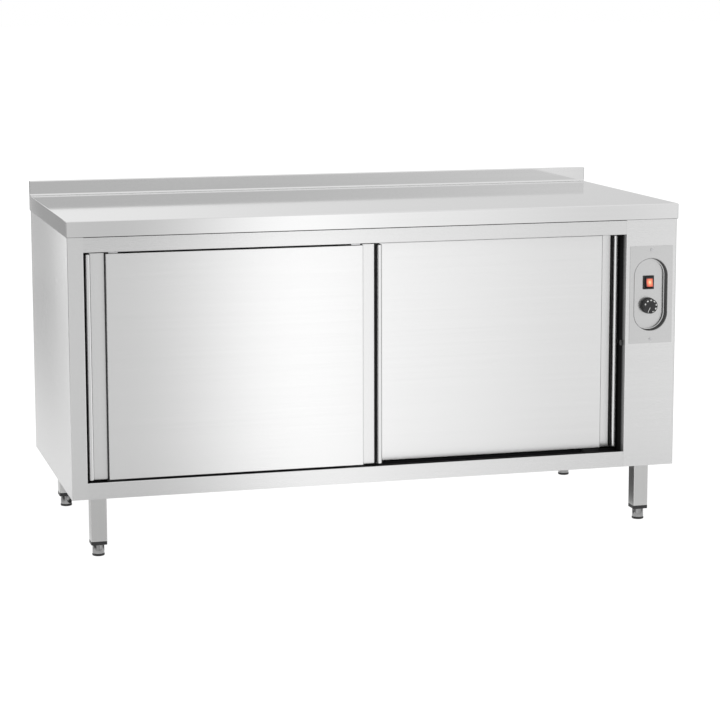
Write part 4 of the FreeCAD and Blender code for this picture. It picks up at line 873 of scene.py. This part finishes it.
def adjustable_feet():
    """Steel sleeve, dark pad and threaded stem of each foot."""
    parts = (
        ("_sleeve", steel_foot, "foot_steel"),
        ("_pad", black_rubber, "buffer_rubber"),
        ("_stem", plated_steel, "fastener_steel"),
    )
    first = None
    for foot in FEET:
        low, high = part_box(foot)
        centre = Vector(((low.x + high.x) / 2, (low.y + high.y) / 2, 0))
        if first is None:
            first_centre = centre
            pieces = first = [
                turned_piece(foot + "_sleeve", in_metres(SLEEVE_PROFILE), centre, 64),
                turned_piece(foot + "_pad", in_metres(PAD_PROFILE), centre, 64),
                foot_stem(foot + "_stem", centre, STEM_BOTTOM, high.z),
            ]
        else:
            offset = centre - first_centre
            pieces = [
                own_copy(piece, foot + ending, offset)
                for piece, (ending, material, slot) in zip(first, parts)
            ]
        for piece, (ending, material, slot) in zip(pieces, parts):
            give(piece, material, foot)
        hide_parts(foot)


thermostat_knob()
knob_numbers()
knob_pointer()
rocker_lens()
rocker_pins()
adjustable_feet()


# Studio

# Brightness of the room in front of the cabinet at places along X, from left to right.
FRONT_LEVELS = [
    (-1.7, 0.78), (-0.8, 0.78), (-0.5, 0.62), (-0.25, 1.04), (-0.02, 1.40), (0.25, 1.12),
    (0.6, 1.03), (0.95, 0.82), (1.22, 1.04), (1.6, 0.78), (2.3, 0.45),
]
FRONT_FLOOR_SHARE = 0.90
REAR_LEVELS = [(0.8, 0.93), (3.2, 0.765), (5.6, 0.70), (7.0, 0.70)]
FAR_FRONT_LEVELS = [(-3.0, 0.60), (2.8, 0.68), (5.4, 0.84), (9.0, 0.98)]

# Brightness beside the left wall at heights above the floor.
LEFT_SIDE_LEVELS = [
    (0.0, 0.85), (0.10, 0.76), (0.20, 0.57), (0.32, 0.46), (0.5, 0.38), (1.35, 0.34),
]

# Cards stand or lie this high, just clear of the floor.
CARD_FOOT = 0.004
CARD_ON_FLOOR = 0.002

FLOOR_SIZE = 120
FLOOR_DROP = 0.0005
FLOOR_GLOW = 0.99

# Camera, fitted to the straight edges in the photograph: metres, degrees and millimetres.
CAMERA_PLACE = (-1.5693, -5.8472, 1.4376)
CAMERA_TILT = 90 - 8.503
CAMERA_ROLL = 0.1122
CAMERA_HEADING = -15.353
CAMERA_LENS = 114.22
CAMERA_SENSOR = 36.0
CAMERA_SHIFT_UP = -0.0593
CAMERA_RANGE = 300.0


def studio_floor():
    """Plain white floor that glows a little, as over a light table."""
    clear_selection()
    bpy.ops.mesh.primitive_plane_add(size=FLOOR_SIZE, location=(0, 0, -FLOOR_DROP))
    floor = bpy.context.object
    floor.name = "studio_floor"
    finish = Finish("pale floor")
    shader = finish.shader
    cloud = finish.noise(0.5, 2.0, 0.5)
    finish.join(finish.tones(cloud, grey(0.11), grey(0.12)), shader.inputs["Base Color"])
    shader.inputs["Roughness"].default_value = 0.95
    shader.inputs["Specular IOR Level"].default_value = 0.0
    shader.inputs["Emission Color"].default_value = (1.0, 1.0, 1.0, 1.0)
    shader.inputs["Emission Strength"].default_value = FLOOR_GLOW
    floor.data.materials.append(finish.material)


def reflection_card(name, corners, levels, axis):
    """Card that only the steel mirrors, as bright as its levels say at places along an axis."""
    mesh = bpy.data.meshes.new(name)
    mesh.from_pydata(corners, [], [(0, 1, 2, 3)])
    card = bpy.data.objects.new(name, mesh)
    bpy.context.collection.objects.link(card)
    finish = Finish(name)
    glow = finish.add("ShaderNodeEmission")
    low, high = levels[0][0], levels[-1][0]
    brightest = max(level for place, level in levels)
    ramp_node = finish.add("ShaderNodeValToRGB")
    ramp_node.color_ramp.interpolation = "B_SPLINE"
    fill_ramp(ramp_node.color_ramp, [
        ((place - low) / (high - low), grey(level / brightest)) for place, level in levels
    ])
    along = finish.spread(finish.place(axis), 0.0, 1.0, low, high)
    finish.join(along, ramp_node.inputs["Fac"])
    finish.join(ramp_node.outputs["Color"], glow.inputs["Color"])
    glow.inputs["Strength"].default_value = brightest
    surface = finish.tree.nodes["Material Output"].inputs["Surface"]
    finish.join(glow.outputs["Emission"], surface)
    mesh.materials.append(finish.material)
    card.visible_camera = False
    card.visible_diffuse = False
    card.visible_shadow = False
    card.visible_transmission = False


def even(level):
    """Levels of a card that is equally bright all over."""
    return [(0.0, level), (1.0, level)]


def floor_card(name, across, deep, levels):
    """Card that lies on the floor, over a stretch of X and a stretch of Y."""
    (left, right), (near, far) = across, deep
    outline = ((left, near), (right, near), (right, far), (left, far))
    reflection_card(name, [(x, y, CARD_ON_FLOOR) for x, y in outline], levels, "X")


def wall_card(name, start, end, low, high, levels, axis="X"):
    """Upright card between two points in plan."""
    corners = [(*start, low), (*end, low), (*end, high), (*start, high)]
    reflection_card(name, corners, levels, axis)


def studio_cards():
    """The cards around the cabinet: in front, at both sides, under it and far off; the dark ones
    under it and beside the left leg are painted shadow of the floor.
    """
    front_floor_levels = [(place, FRONT_FLOOR_SHARE * level) for place, level in FRONT_LEVELS]
    wall_card("front_card", (-1.7, -1.2), (2.3, -1.2), CARD_FOOT, 0.92, FRONT_LEVELS)
    floor_card("front_floor_card", (-1.7, 2.3), (-0.37, -1.2), front_floor_levels)
    wall_card("right_card", (2.3, -1.2), (2.3, 2.0), CARD_FOOT, 1.0, even(0.42))
    wall_card("left_card", (-3.0, -3.5), (-3.0, 1.0), CARD_FOOT, 1.0, even(0.12))
    # Painted shadow: the floor's shade under the cabinet and beside the left leg, seen only in
    # the steel.
    floor_card("under_shadow_card", (-0.70, 0.64), (-0.25, 1.6), even(0.05))
    floor_card("left_leg_shade_card", (-1.3, -0.80), (-0.25, 0.38), even(0.70))
    floor_card("left_floor_card", (-1.8, -0.80), (0.38, 5.0), even(0.86))
    wall_card(
        "left_side_card", (-0.905, 0.30), (-1.40, 5.35), CARD_FOOT, 1.35, LEFT_SIDE_LEVELS, "Z",
    )
    wall_card("rear_card", (0.0, 12.0), (10.0, 12.0), 0.9, 6.0, REAR_LEVELS)
    wall_card("far_front_card", (-3.0, -13.0), (9.0, -13.0), 1.2, 4.5, FAR_FRONT_LEVELS)


def overhead_light():
    """Square soft box over the worktop, aimed at the cabinet's foot."""
    place = Vector((0.0, -0.5, 4.0))
    data = bpy.data.lights.new("overhead", "AREA")
    data.shape = "RECTANGLE"
    data.size = 4.0
    data.size_y = 4.0
    data.energy = 15
    light = bpy.data.objects.new("overhead", data)
    bpy.context.collection.objects.link(light)
    light.location = place
    light.rotation_euler = (-place).to_track_quat("-Z", "Y").to_euler()
    light.visible_camera = False
    light.visible_glossy = False


def studio_world():
    """Bright even surround."""
    world = bpy.data.worlds.new("studio surround")
    world.use_nodes = True
    background = world.node_tree.nodes["Background"]
    background.inputs["Color"].default_value = (1.0, 1.0, 1.0, 1.0)
    background.inputs["Strength"].default_value = 1.0
    bpy.context.scene.world = world


def studio_camera():
    """Camera at the photograph's place and angle."""
    data = bpy.data.cameras.new("camera")
    data.lens = CAMERA_LENS
    data.sensor_width = CAMERA_SENSOR
    data.shift_y = CAMERA_SHIFT_UP
    data.clip_end = CAMERA_RANGE
    camera = bpy.data.objects.new("camera", data)
    bpy.context.collection.objects.link(camera)
    camera.location = CAMERA_PLACE
    camera.rotation_euler = [
        math.radians(angle) for angle in (CAMERA_TILT, CAMERA_ROLL, CAMERA_HEADING)
    ]
    bpy.context.scene.camera = camera


studio_floor()
studio_world()
studio_cards()
overhead_light()
studio_camera()
bpy.context.scene.view_settings.view_transform = "Standard"
bpy.context.scene.view_settings.look = "None"
